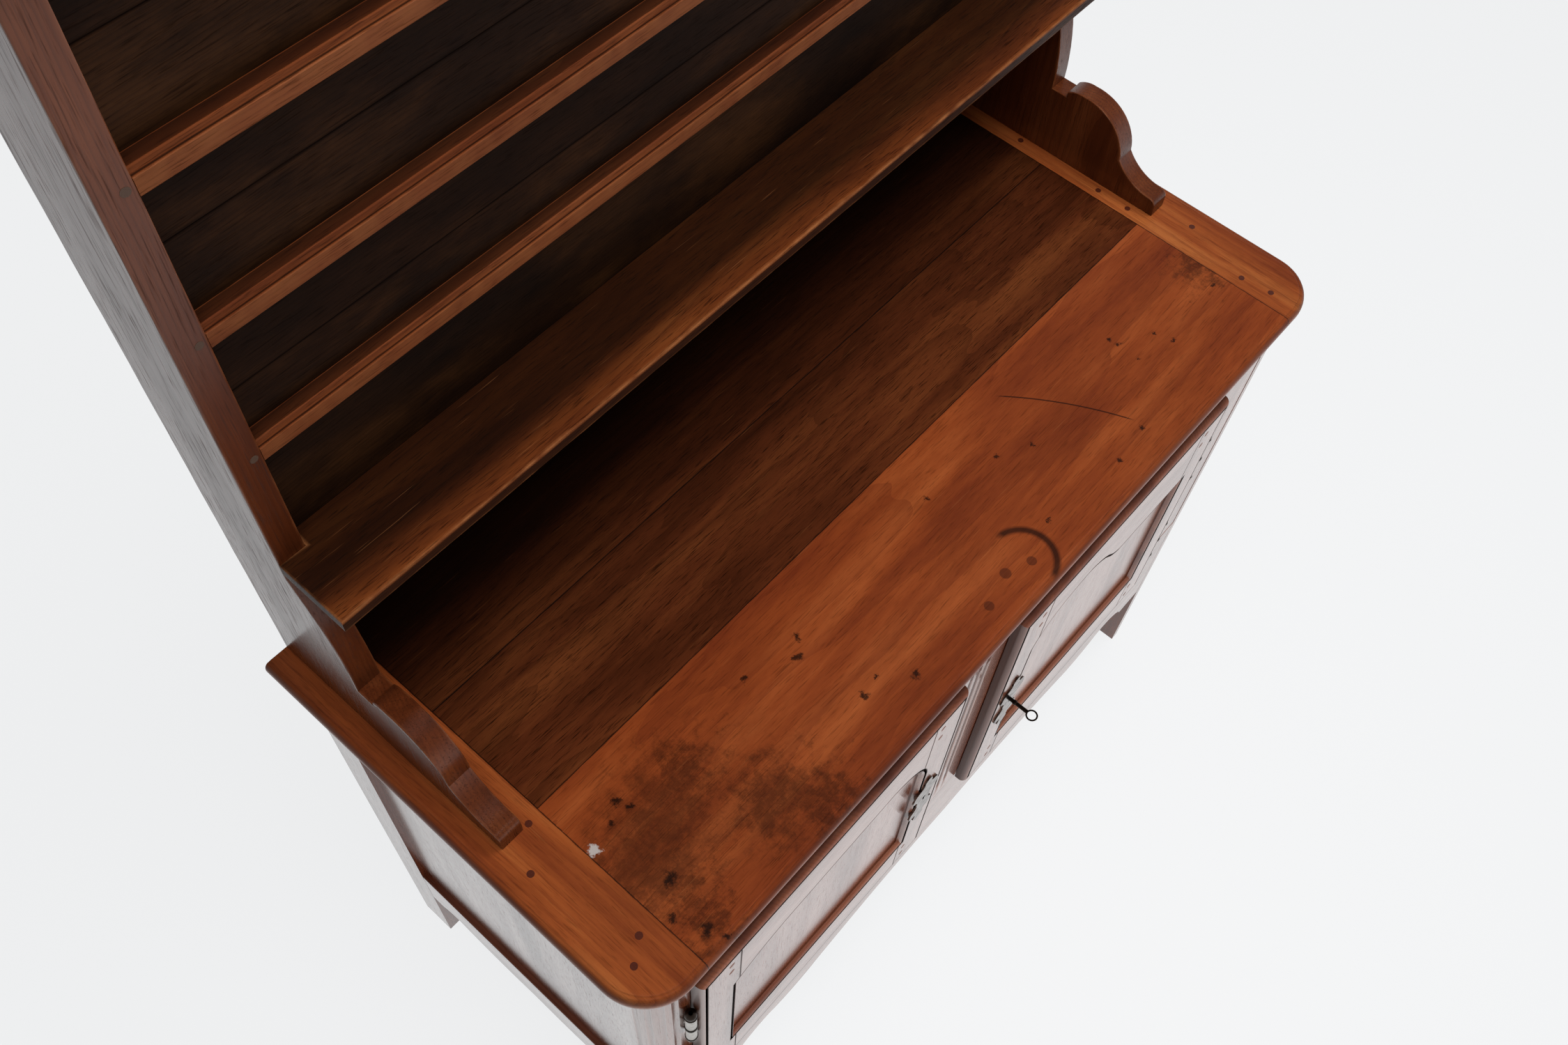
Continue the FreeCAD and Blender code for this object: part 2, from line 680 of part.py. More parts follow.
front_top_height = base_height - top_rail_bottom
front_top, front_top_tenon = rail_across("front_top", -post_inner, post_inner, top_rail_bottom,
                                         front_top_height, carcass_face)
back_rail_front = carcass_back - s.base_board_thickness - s.rail_thickness
back_top, back_top_tenon = rail_across("back_top", -post_inner, post_inner, base_height - s.back_rail_height,
                                       s.back_rail_height, back_rail_front)
floor_top = bottom_rail_top - s.floor_drop
floor_bottom = floor_top - s.floor_thickness
back_bottom_z = floor_top + s.floor_drop - s.back_rail_height
back_bottom, back_bottom_tenon = rail_across("back_bottom", -post_inner, post_inner, back_bottom_z,
                                             s.back_rail_height, back_rail_front)

apron_height = bottom_rail_top - s.apron_clearance
apron_outline = scaled(APRON_SHARES, post_inner * 2, apron_height)
apron_outline += [(post_inner * 2, apron_height, 0), (nothing, apron_height, 0)]
apron_blank = shaped("apron_blank", "XZ_Plane", apron_outline, s.rail_thickness, -post_inner,
                     carcass_face + s.rail_thickness, s.apron_clearance)
apron_tenon = box("apron_tenon", nothing, post_inner * 2 + s.tenon_length * 2, carcass_face + tenon_back,
                  s.tenon_thickness, s.apron_clearance + apron_height / 2,
                  apron_height / 2 - s.tenon_shoulder)
apron = fuse("apron", apron_blank, apron_tenon)

# Cupboard floor, let into the front and back rails
floor_front = carcass_face + tenon_back + s.tenon_thickness
floor_depth = back_rail_front + s.groove_depth - floor_front
floor_middle = box("floor_middle", nothing, post_inner * 2, floor_front, floor_depth, floor_bottom,
                   s.floor_thickness)
side_inner = half_base - s.panel_recess - s.panel_thickness
floor_wings = box("floor_wings", nothing, side_inner * 2, side_front, side_length, floor_bottom,
                  s.floor_thickness)
floor_board = keep("cupboard_floor", fuse("floor_board", floor_middle, floor_wings))

centre_height = top_rail_bottom - bottom_rail_top
centre_block = box("centre_block", doors_middle, centre_post_width, carcass_face, s.rail_thickness,
                   bottom_rail_top, centre_height)
stub = s.tenon_length / 2
centre_tenon = box("centre_tenon", doors_middle, centre_post_width - s.tenon_shoulder * 2,
                   carcass_face + tenon_back, s.tenon_thickness, bottom_rail_top - stub,
                   centre_height + stub * 2)
centre_flutes = flutes("centre_flutes", doors_middle, bottom_rail_top, top_rail_bottom)
keep("centre_post", cut("centre_post", fuse("centre_whole", centre_block, centre_tenon), centre_flutes,
                        bolt_mortise, other_mortise))

# Fixed stile that carries the right door's hinges, and the narrow panel beside it
right_door_edge = doors_middle * 2 - left_door_edge
fixed_left = right_door_edge - s.door_lap
fixed_middle = fixed_left + s.fixed_stile_width / 2
fixed_block = box("fixed_block", fixed_middle, s.fixed_stile_width, carcass_face, s.rail_thickness,
                  bottom_rail_top, centre_height)
fixed_tenon = box("fixed_tenon", fixed_middle, s.fixed_stile_width - s.tenon_shoulder * 2,
                  carcass_face + tenon_back, s.tenon_thickness, bottom_rail_top - stub,
                  centre_height + stub * 2)
narrow_left = fixed_left + s.fixed_stile_width
narrow = keep("narrow_panel", box(
    "narrow", narrow_left + s.narrow_panel_width / 2, s.narrow_panel_width + s.groove_depth * 2,
    carcass_face + s.panel_recess, s.panel_thickness, bottom_rail_top - s.groove_depth,
    centre_height + s.groove_depth * 2))
keep("right_hinge_stile", cut("right_hinge_stile", fuse("fixed_whole", fixed_block, fixed_tenon), narrow,
                              right_pins))
keep("front_top_rail", cut("front_top_rail", front_top, centre_tenon, fixed_tenon, narrow))
keep("front_bottom_rail", cut("front_bottom_rail", apron, centre_tenon, fixed_tenon, narrow, floor_board))
keep("back_top_rail", back_top)
keep("back_bottom_rail", cut("back_bottom_rail", back_bottom, floor_board))

# Sides of the base: two rails with a panel let into them and into the posts
side_panel_x = s.panel_recess - half_base


def side_tenon(name, bottom, height):
    return box(name, s.rail_thickness / 2 - half_base, s.tenon_thickness, side_front - s.tenon_length,
               side_length + s.tenon_length * 2, bottom + s.tenon_shoulder, height - s.tenon_shoulder * 2)


side_top_bottom = base_height - s.side_top_rail_height
side_panel_bottom = s.side_rail_clearance + s.side_bottom_rail_height
side_panel = keep("left_side_panel", box(
    "side_panel", side_panel_x + s.panel_thickness / 2, s.panel_thickness, side_front - s.groove_depth,
    side_length + s.groove_depth * 2, side_panel_bottom - s.groove_depth,
    side_top_bottom - side_panel_bottom + s.groove_depth * 2))
keep("right_side_panel", mirror("other_side_panel", side_panel, nothing))
side_top_tenon = side_tenon("side_top_tenon", side_top_bottom, s.side_top_rail_height)
side_bottom_tenon = side_tenon("side_bottom_tenon", s.side_rail_clearance + s.side_bottom_rail_height / 2,
                               s.side_bottom_rail_height / 2)
side_top_bar = box("side_top_bar", s.rail_thickness / 2 - half_base, s.rail_thickness, side_front,
                   side_length, side_top_bottom, s.side_top_rail_height)
side_outline = scaled(SIDE_RAIL_SHARES, side_length, s.side_bottom_rail_height)
side_outline += [(side_length, s.side_bottom_rail_height, 0), (nothing, s.side_bottom_rail_height, 0)]
side_bottom_bar = shaped("side_bottom_bar", "YZ_Plane", side_outline, s.rail_thickness, -half_base,
                         side_front, s.side_rail_clearance)
side_top_whole = fuse("side_top_whole", side_top_bar, side_top_tenon)
side_top = keep("left_side_top_rail", cut("side_top", side_top_whole, side_panel))
side_bottom_whole = fuse("side_bottom_whole", side_bottom_bar, side_bottom_tenon)
side_bottom = keep("left_side_bottom_rail", cut("side_bottom", side_bottom_whole, side_panel))
keep("right_side_top_rail", mirror("other_side_top", side_top, nothing))
keep("right_side_bottom_rail", mirror("other_side_bottom", side_bottom, nothing))

# Four posts run from the worktop down to the floor as feet
post_outline = [
    (nothing, s.post_round, 0),
    (nothing, s.post_depth, 0),
    (s.post_width, s.post_depth, 0),
    (s.post_width, nothing, 0),
    (s.post_round, nothing, ROUND_BULGE_SHARE),
]


def corner_flute(count, share):
    """One upright flute on the rounded corner of a front post."""
    turn = share * pi / 2
    reach = s.post_round + flute_axis
    bottom = s.door_bottom + s.corner_flute_stop
    return rod(f"corner_flute_{count}", "z", s.flute_radius, base_height - s.corner_flute_stop - bottom,
               s.post_round - half_base - reach * cos(turn),
               carcass_face + s.post_round - reach * sin(turn), bottom)


front_blank = shaped("front_post_blank", "XY_Plane", post_outline, base_height, -half_base, carcass_face,
                     nothing)
post_flutes = fuse(
    "post_flutes", *[corner_flute(count, share) for count, share in enumerate(CORNER_FLUTE_SHARES)])
front_post = cut("front_post", front_blank, side_panel, side_top_tenon, side_bottom_tenon, front_top_tenon,
                 apron_tenon, post_flutes)
keep("front_left_post", cut("front_left_post", front_post, left_pins))
keep("front_right_post", cut("front_right_post", mirror("other_front_post", front_post, nothing), narrow))
back_blank = box("back_post_blank", post_middle, s.post_width, carcass_back - s.post_depth, s.post_depth,
                 nothing, base_height)
back_post = keep("back_left_post", cut("back_post", back_blank, side_panel, side_top_tenon, side_bottom_tenon,
                                       back_top_tenon, back_bottom_tenon))
keep("back_right_post", mirror("other_back_post", back_post, nothing))

# Boards of the base's back, side by side
base_board_width = post_inner * 2 / BASE_BOARD_COUNT
base_boards = []
for count in range(BASE_BOARD_COUNT):
    base_boards.append(box(f"base_board_{count}", base_board_width * (count + 0.5) - post_inner,
                           base_board_width, carcass_back - s.base_board_thickness, s.base_board_thickness,
                           back_bottom_z, base_height - back_bottom_z))
keep("base_back_boards", group("base_boards", *base_boards))

# Inner shelf on two bearers fixed to the posts
bearer_front = carcass_face + s.rail_thickness
bearer_length = carcass_back - s.base_board_thickness - bearer_front
inner_shelf_bottom = floor_top + s.inner_shelf_rise - s.inner_shelf_thickness
bearer_bottom = inner_shelf_bottom - s.bearer_height
left_bearer = box("left_bearer", s.bearer_width / 2 - post_inner, s.bearer_width, bearer_front, bearer_length,
                  bearer_bottom, s.bearer_height)
keep("shelf_bearers", group("bearers", left_bearer, mirror("right_bearer", left_bearer, nothing)))
inner_front = carcass_face + s.inner_shelf_setback
keep("inner_shelf", box("inner_board", nothing, post_inner * 2, inner_front,
                        carcass_back - s.base_board_thickness - inner_front,
                        inner_shelf_bottom, s.inner_shelf_thickness))

# Worktop: the moulded rim is a step lower than the field and rounded above and below
field_width = s.worktop_width - s.end_width * 2
rim_height = s.worktop_thickness - s.rim_drop
front_profile = [
    (nothing, s.nosing_under_radius, 0),
    (nothing, rim_height - s.nosing_radius, ROUND_BULGE_SHARE),
    (s.nosing_radius, rim_height, 0),
    (s.rim_inset, rim_height, 0),
    (s.rim_inset, s.worktop_thickness, 0),
    (s.front_board_depth, s.worktop_thickness, 0),
    (s.front_board_depth, nothing, 0),
    (s.nosing_under_radius, nothing, ROUND_BULGE_SHARE),
]
front_board = shaped("front_board", "YZ_Plane", front_profile, field_width, -field_width / 2, worktop_front,
                     base_height)
middle_front = worktop_front + s.front_board_depth
back_front = middle_front + s.middle_board_depth
tongue_bottom = base_height + (s.worktop_thickness - s.tongue_thickness) / 2


def tongue(name, front, length):
    return box(name, nothing, field_width + s.tongue_length * 2, front, length, tongue_bottom,
               s.tongue_thickness)


front_tongue = tongue("front_tongue", worktop_front + s.tongue_setback,
                      s.front_board_depth - s.tongue_setback)
middle_tongue = tongue("middle_tongue", middle_front, s.middle_board_depth)
back_tongue = tongue("back_tongue", back_front, back - back_front - s.tongue_setback)


def end_peg_set(side, sign, shares):
    """Pegs of one breadboard end and the bores that take them."""
    pegs, bores = [], []
    peg_foot = s.worktop_height - s.peg_length
    for count, (across, along) in enumerate(shares):
        peg_x = (field_width / 2 + s.end_width * across) * sign
        peg_y = worktop_front + s.worktop_depth * along
        pegs.append(rod(f"{side}_peg_{count}", "z", s.peg_radius, s.peg_length, peg_x, peg_y, peg_foot))
        bores.append(rod(f"{side}_bore_{count}", "z", peg_bore, s.peg_length + s.overrun,
                         peg_x, peg_y, peg_foot))
    return group(f"{side}_end_pegs", *pegs), fuse(f"{side}_end_bores", *bores)


left_end_pegs, left_end_bores = end_peg_set("left", -1, LEFT_END_PEG_SHARES)
right_end_pegs, right_end_bores = end_peg_set("right", 1, RIGHT_END_PEG_SHARES)
keep("worktop_pegs", group("end_pegs", left_end_pegs, right_end_pegs))


def bored(name, board, tongue_piece):
    return cut(name, fuse(f"{name}_whole", board, tongue_piece), left_end_bores, right_end_bores)


middle_board = box("middle_board", nothing, field_width, middle_front, s.middle_board_depth, base_height,
                   s.worktop_thickness)
back_board = box("back_board", nothing, field_width, back_front, back - back_front, base_height,
                 s.worktop_thickness)
keep("worktop_front_board", bored("top_front", front_board, front_tongue))
keep("worktop_middle_board", bored("top_middle", middle_board, middle_tongue))
keep("worktop_back_board", bored("top_back", back_board, back_tongue))


def end_outline(inset):
    """Plan of the left breadboard end from its outer front corner, drawn in by the inset."""
    return [
        (s.end_corner_radius, inset, ROUND_BULGE_SHARE),
        (inset, s.end_corner_radius, 0),
        (inset, s.worktop_depth, 0),
        (s.end_width, s.worktop_depth, 0),
        (s.end_width, inset, 0),
    ]


def edges_at(shape, level, room):
    """Names of the edges at one level that run round the outer side and front of the end."""
    names = []
    for index, edge in enumerate(shape.Edges, 1):
        flat = abs(edge.BoundBox.ZMax - level) < room.value and abs(edge.BoundBox.ZMin - level) < room.value
        middle = edge.valueAt((edge.FirstParameter + edge.LastParameter) / 2)
        at_joint = abs(middle.x - s.end_width.value) < room.value
        at_back = abs(middle.y - s.worktop_depth.value) < room.value
        if flat and not at_joint and not at_back:
            names.append(f"Edge{index}")
    return names


end_body = doc.addObject("PartDesign::Body", "end_body")
rim_pad = add_pad(end_body, "end_rim", "XY_Plane", end_outline(nothing), rim_height)
doc.recompute()
upper_round = end_body.newObject("PartDesign::Fillet", "end_upper_round")
upper_round.Base = (rim_pad, edges_at(rim_pad.Shape, rim_height.value, s.overrun))
bind(upper_round, Radius=s.nosing_radius)
doc.recompute()
under_round = end_body.newObject("PartDesign::Fillet", "end_under_round")
under_round.Base = (upper_round, edges_at(upper_round.Shape, 0, s.overrun))
bind(under_round, Radius=s.nosing_under_radius)
doc.recompute()
add_pad(end_body, "end_field", "XY_Plane", end_outline(s.rim_inset), s.worktop_thickness)
place(end_body, -s.worktop_width / 2, worktop_front, base_height)
end_blank = cut("end_blank", end_body, front_tongue, middle_tongue, back_tongue)
keep("left_breadboard_end", cut("left_end", end_blank, left_end_bores))
keep("right_breadboard_end", cut("right_end", mirror("right_end_blank", end_blank, nothing), right_end_bores))

# Plate rack: uprights with their scroll brackets in one piece
rack_width = s.worktop_width - s.rack_inset * 2
half_rack = rack_width / 2
bracket_rise = s.serving_shelf_rise - s.serving_shelf_thickness - s.bracket_gap
rack_inner = half_rack - s.upright_thickness
upright_front = back - s.upright_depth
rack_top = s.worktop_height + s.rack_height
upright_outline = [(nothing, nothing, 0)]
upright_outline += scaled(BRACKET_SHARES, s.bracket_reach, bracket_rise)
upright_outline += [
    (s.bracket_reach, s.rack_height, 0),
    (s.bracket_reach + s.upright_depth, s.rack_height, 0),
    (s.bracket_reach + s.upright_depth, nothing, 0),
]
upright_blank = shaped("upright_blank", "YZ_Plane", upright_outline, s.upright_thickness, -half_rack,
                       upright_front - s.bracket_reach, s.worktop_height)

# Back boards of the rack lie across: below the serving shelf in rebates at the back of the uprights,
# above it in grooves close behind the plate shelves
serving_level = s.worktop_height + s.serving_shelf_rise
serving_bottom = serving_level - s.serving_shelf_thickness
board_span = (rack_inner + s.rack_board_rebate) * 2
low_board_front = back - s.rack_board_thickness
low_board_height = (serving_bottom - s.worktop_height) / LOW_RACK_BOARD_COUNT
rack_boards = []
for count in range(LOW_RACK_BOARD_COUNT):
    rack_boards.append(box(f"low_rack_board_{count}", nothing, board_span, low_board_front,
                           s.rack_board_thickness, s.worktop_height + low_board_height * count,
                           low_board_height))
plate_back = upright_front + s.plate_shelf_depth
foot_board_top = rack_top - s.rack_head_board_height - s.rack_board_height * HIGH_RACK_BOARD_COUNT
board_levels = [foot_board_top + s.rack_board_height * count for count in range(HIGH_RACK_BOARD_COUNT + 1)]
board_levels = [serving_level] + board_levels + [rack_top]
for count, (low, high) in enumerate(zip(board_levels, board_levels[1:])):
    rack_boards.append(box(f"high_rack_board_{count}", nothing, board_span, plate_back,
                           s.rack_board_thickness, low, high - low))
rebate = box("rebate", nothing, board_span, low_board_front, s.rack_board_thickness + s.overrun,
             s.worktop_height - s.overrun, serving_bottom - s.worktop_height + s.overrun)
board_groove = box("board_groove", nothing, board_span, plate_back, s.rack_board_thickness, serving_level,
                   rack_top - serving_level + s.overrun)
keep("rack_back_boards", group("rack_boards", *rack_boards))


def shelf_tenons(name, level, thickness, depth):
    return box(name, nothing, (rack_inner + s.shelf_tenon_length) * 2, upright_front + s.shelf_tenon_setback,
               depth - s.shelf_tenon_setback, level - thickness + s.shelf_tenon_shoulder,
               thickness - s.shelf_tenon_shoulder * 2)


shelf_profile = [
    (nothing, nothing, 0),
    (nothing, s.shelf_lip, 0),
    (s.shelf_quirk, s.shelf_lip, -ROUND_BULGE_SHARE),
    (s.shelf_cove, s.shelf_thickness, 0),
    (s.plate_shelf_depth, s.shelf_thickness, 0),
    (s.plate_shelf_depth, nothing, 0),
]
plate_rises = {"low": s.low_shelf_rise, "middle": s.middle_shelf_rise, "high": s.high_shelf_rise}
peg_column = rack_inner + s.shelf_tenon_length / 2
plate_tenons, shelf_pegs, shelf_bores, plate_boards = [], [], [], {}
for word, rise in plate_rises.items():
    level = s.worktop_height + rise
    bottom = level - s.shelf_thickness
    tenons = shelf_tenons(f"{word}_shelf_tenons", level, s.shelf_thickness, s.plate_shelf_depth)
    board = shaped(f"{word}_shelf_board", "YZ_Plane", shelf_profile, rack_inner * 2, -rack_inner,
                   upright_front, bottom)
    plate_tenons.append(tenons)
    plate_boards[word] = fuse(f"{word}_shelf_whole", board, tenons)
    for side, x in [("right", peg_column), ("left", -peg_column)]:
        z = bottom + s.shelf_thickness / 2
        shelf_pegs.append(rod(f"{word}_{side}_shelf_peg", "y", s.peg_radius, s.shelf_peg_length,
                              x, upright_front, z))
        shelf_bores.append(rod(f"{word}_{side}_shelf_bore", "y", peg_bore, s.shelf_peg_length + s.overrun,
                               x, upright_front - s.overrun, z))
peg_bores = fuse("shelf_peg_bores", *shelf_bores)
keep("shelf_pegs", group("all_shelf_pegs", *shelf_pegs))
for word, board in plate_boards.items():
    keep(f"{word}_plate_shelf", cut(f"{word}_plate_shelf", board, peg_bores))

# Deep serving shelf, notched round the uprights
serving_front = back - s.serving_shelf_depth
serving_nose = box("serving_nose", nothing, rack_width, serving_front, upright_front - serving_front,
                   serving_bottom, s.serving_shelf_thickness)
serving_body = box("serving_body", nothing, rack_inner * 2, upright_front, s.upright_depth, serving_bottom,
                   s.serving_shelf_thickness)
serving_tenons = shelf_tenons("serving_tenons", serving_level, s.serving_shelf_thickness,
                              s.upright_depth - s.rack_board_thickness)
keep("serving_shelf", fuse("serving_shelf", serving_nose, serving_body, serving_tenons))

upright = cut("upright", upright_blank, rebate, board_groove, serving_tenons, peg_bores, *plate_tenons)
keep("left_upright", upright)
keep("right_upright", mirror("other_upright", upright, nothing))

# Top board and cornice close the rack
keep("top_board", box("top_piece", nothing, rack_width, upright_front, s.upright_depth, rack_top,
                      s.top_board_thickness))
cornice_depth = s.upright_depth + s.cornice_reach
half_cornice = half_rack + s.cornice_reach
cornice_body = doc.addObject("PartDesign::Body", "cornice_body")
cornice_pad = add_pad(cornice_body, "cornice", "XY_Plane", [
    (nothing, nothing, 0),
    (half_cornice * 2, nothing, 0),
    (half_cornice * 2, cornice_depth, 0),
    (nothing, cornice_depth, 0)], s.cornice_height)
doc.recompute()
low_edges = []
for index, edge in enumerate(cornice_pad.Shape.Edges, 1):
    at_foot = edge.BoundBox.ZMax < s.overrun.value
    at_back = edge.BoundBox.YMin > cornice_depth.value - s.overrun.value
    if at_foot and not at_back:
        low_edges.append(f"Edge{index}")
slope = cornice_body.newObject("PartDesign::Chamfer", "cornice_slope")
slope.Base = (cornice_pad, low_edges)
bind(slope, Size=s.cornice_slope)
place(cornice_body, -half_cornice, upright_front - s.cornice_reach, rack_top + s.top_board_thickness)
keep("cornice", cornice_body)

doc.recompute()
faults = [thing.Name for thing in doc.Objects if {"Invalid", "Error"} & set(thing.State)]
for node in nodes:
    if node.Shape.isNull() or not node.Shape.isValid():
        faults.append(node.Label)
if faults:
    raise RuntimeError("these objects failed: " + ", ".join(faults))
os.makedirs("parts", exist_ok=True)
for node in nodes:
    node.Shape.exportStep(f"parts/{node.Label}.step")
print(len(nodes), "nodes written")
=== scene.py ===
# %% [markdown]
# # An old waxed oak dresser
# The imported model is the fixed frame: every board, hinge and lock already has its place and its body.
# This script dresses it. Each board gets worn arrises and grain of its own, and the mouldings, flutes,
# hinges and key get the shapes that a hand would find on the real piece.

# %% Load the frame
import json
import math
import random

import bmesh
import bpy
from mathutils import Matrix, Vector, noise


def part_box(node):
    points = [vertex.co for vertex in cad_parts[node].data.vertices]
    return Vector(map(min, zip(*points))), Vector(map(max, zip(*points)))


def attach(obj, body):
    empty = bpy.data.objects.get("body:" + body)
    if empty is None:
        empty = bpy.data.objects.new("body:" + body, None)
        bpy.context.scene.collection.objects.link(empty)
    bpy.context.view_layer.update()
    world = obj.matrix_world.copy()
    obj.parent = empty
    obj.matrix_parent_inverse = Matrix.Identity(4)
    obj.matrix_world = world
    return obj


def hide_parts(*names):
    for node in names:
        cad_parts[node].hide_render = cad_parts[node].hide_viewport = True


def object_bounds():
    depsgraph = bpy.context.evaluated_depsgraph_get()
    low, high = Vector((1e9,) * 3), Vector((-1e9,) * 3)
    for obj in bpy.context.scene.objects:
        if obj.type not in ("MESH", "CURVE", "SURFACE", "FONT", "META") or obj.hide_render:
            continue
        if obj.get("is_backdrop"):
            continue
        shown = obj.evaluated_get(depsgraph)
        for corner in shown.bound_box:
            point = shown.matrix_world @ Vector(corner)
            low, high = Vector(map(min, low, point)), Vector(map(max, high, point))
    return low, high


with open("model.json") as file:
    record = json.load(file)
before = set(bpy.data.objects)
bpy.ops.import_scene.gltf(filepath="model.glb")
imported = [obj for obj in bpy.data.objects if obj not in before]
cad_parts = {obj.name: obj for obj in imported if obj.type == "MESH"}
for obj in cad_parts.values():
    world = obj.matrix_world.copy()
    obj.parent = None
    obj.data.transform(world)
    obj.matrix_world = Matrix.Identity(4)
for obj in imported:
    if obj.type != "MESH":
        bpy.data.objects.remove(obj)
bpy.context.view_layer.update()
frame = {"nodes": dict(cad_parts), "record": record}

MM = 0.001

# %% [markdown]
# ## Wood
# Old oak shows rings that run out in long arches, short dark pores along the grain, and wax that has
# filled and darkened them. An image of wood would repeat and slide over the arrises, so the grain is
# worked out from each board's own coordinates: the attribute called grain holds metres along, across
# and through the board, shifted by a random amount so that no two boards match.

# %% Colours and nodes
def linear(code):
    """An sRGB hex colour as linear red, green, blue and alpha."""
    parts = [int(code[i:i + 2], 16) / 255 for i in (1, 3, 5)]
    return [c / 12.92 if c <= 0.04045 else ((c + 0.055) / 1.055) ** 2.4 for c in parts] + [1.0]


def add(tree, kind, links=None, **settings):
    """Add one node with its settings; links gives each socket a value or the socket that feeds it."""
    node = tree.nodes.new(kind)
    for key, value in settings.items():
        setattr(node, key, value)
    for socket, source in (links or {}).items():
        if isinstance(source, bpy.types.NodeSocket):
            tree.links.new(source, node.inputs[socket])
        else:
            node.inputs[socket].default_value = source
    return node


def new_material(name):
    """An empty material and its node tree."""
    material = bpy.data.materials.new(name)
    material.use_nodes = True
    material.node_tree.nodes.clear()
    return material, material.node_tree


# A colour mix takes its two colours at inputs 6 and 7 and gives the result at output 2.
FIRST, SECOND, MIXED = 6, 7, 2
RING_PERIOD = math.pi / 10
# near black: grime in the board joints, and painted shade in quirks, flutes, grooves and recesses
GRIME_AND_SHADE = linear("#0d0705")
print("grime in the quirks, as linear red, green and blue:", [round(c, 4) for c in GRIME_AND_SHADE[:3]])


# %% Waxed wood
STAIN_MM = (1000 / 7, 1000 / 13)
RUB_MM = (25.0, 25.0)


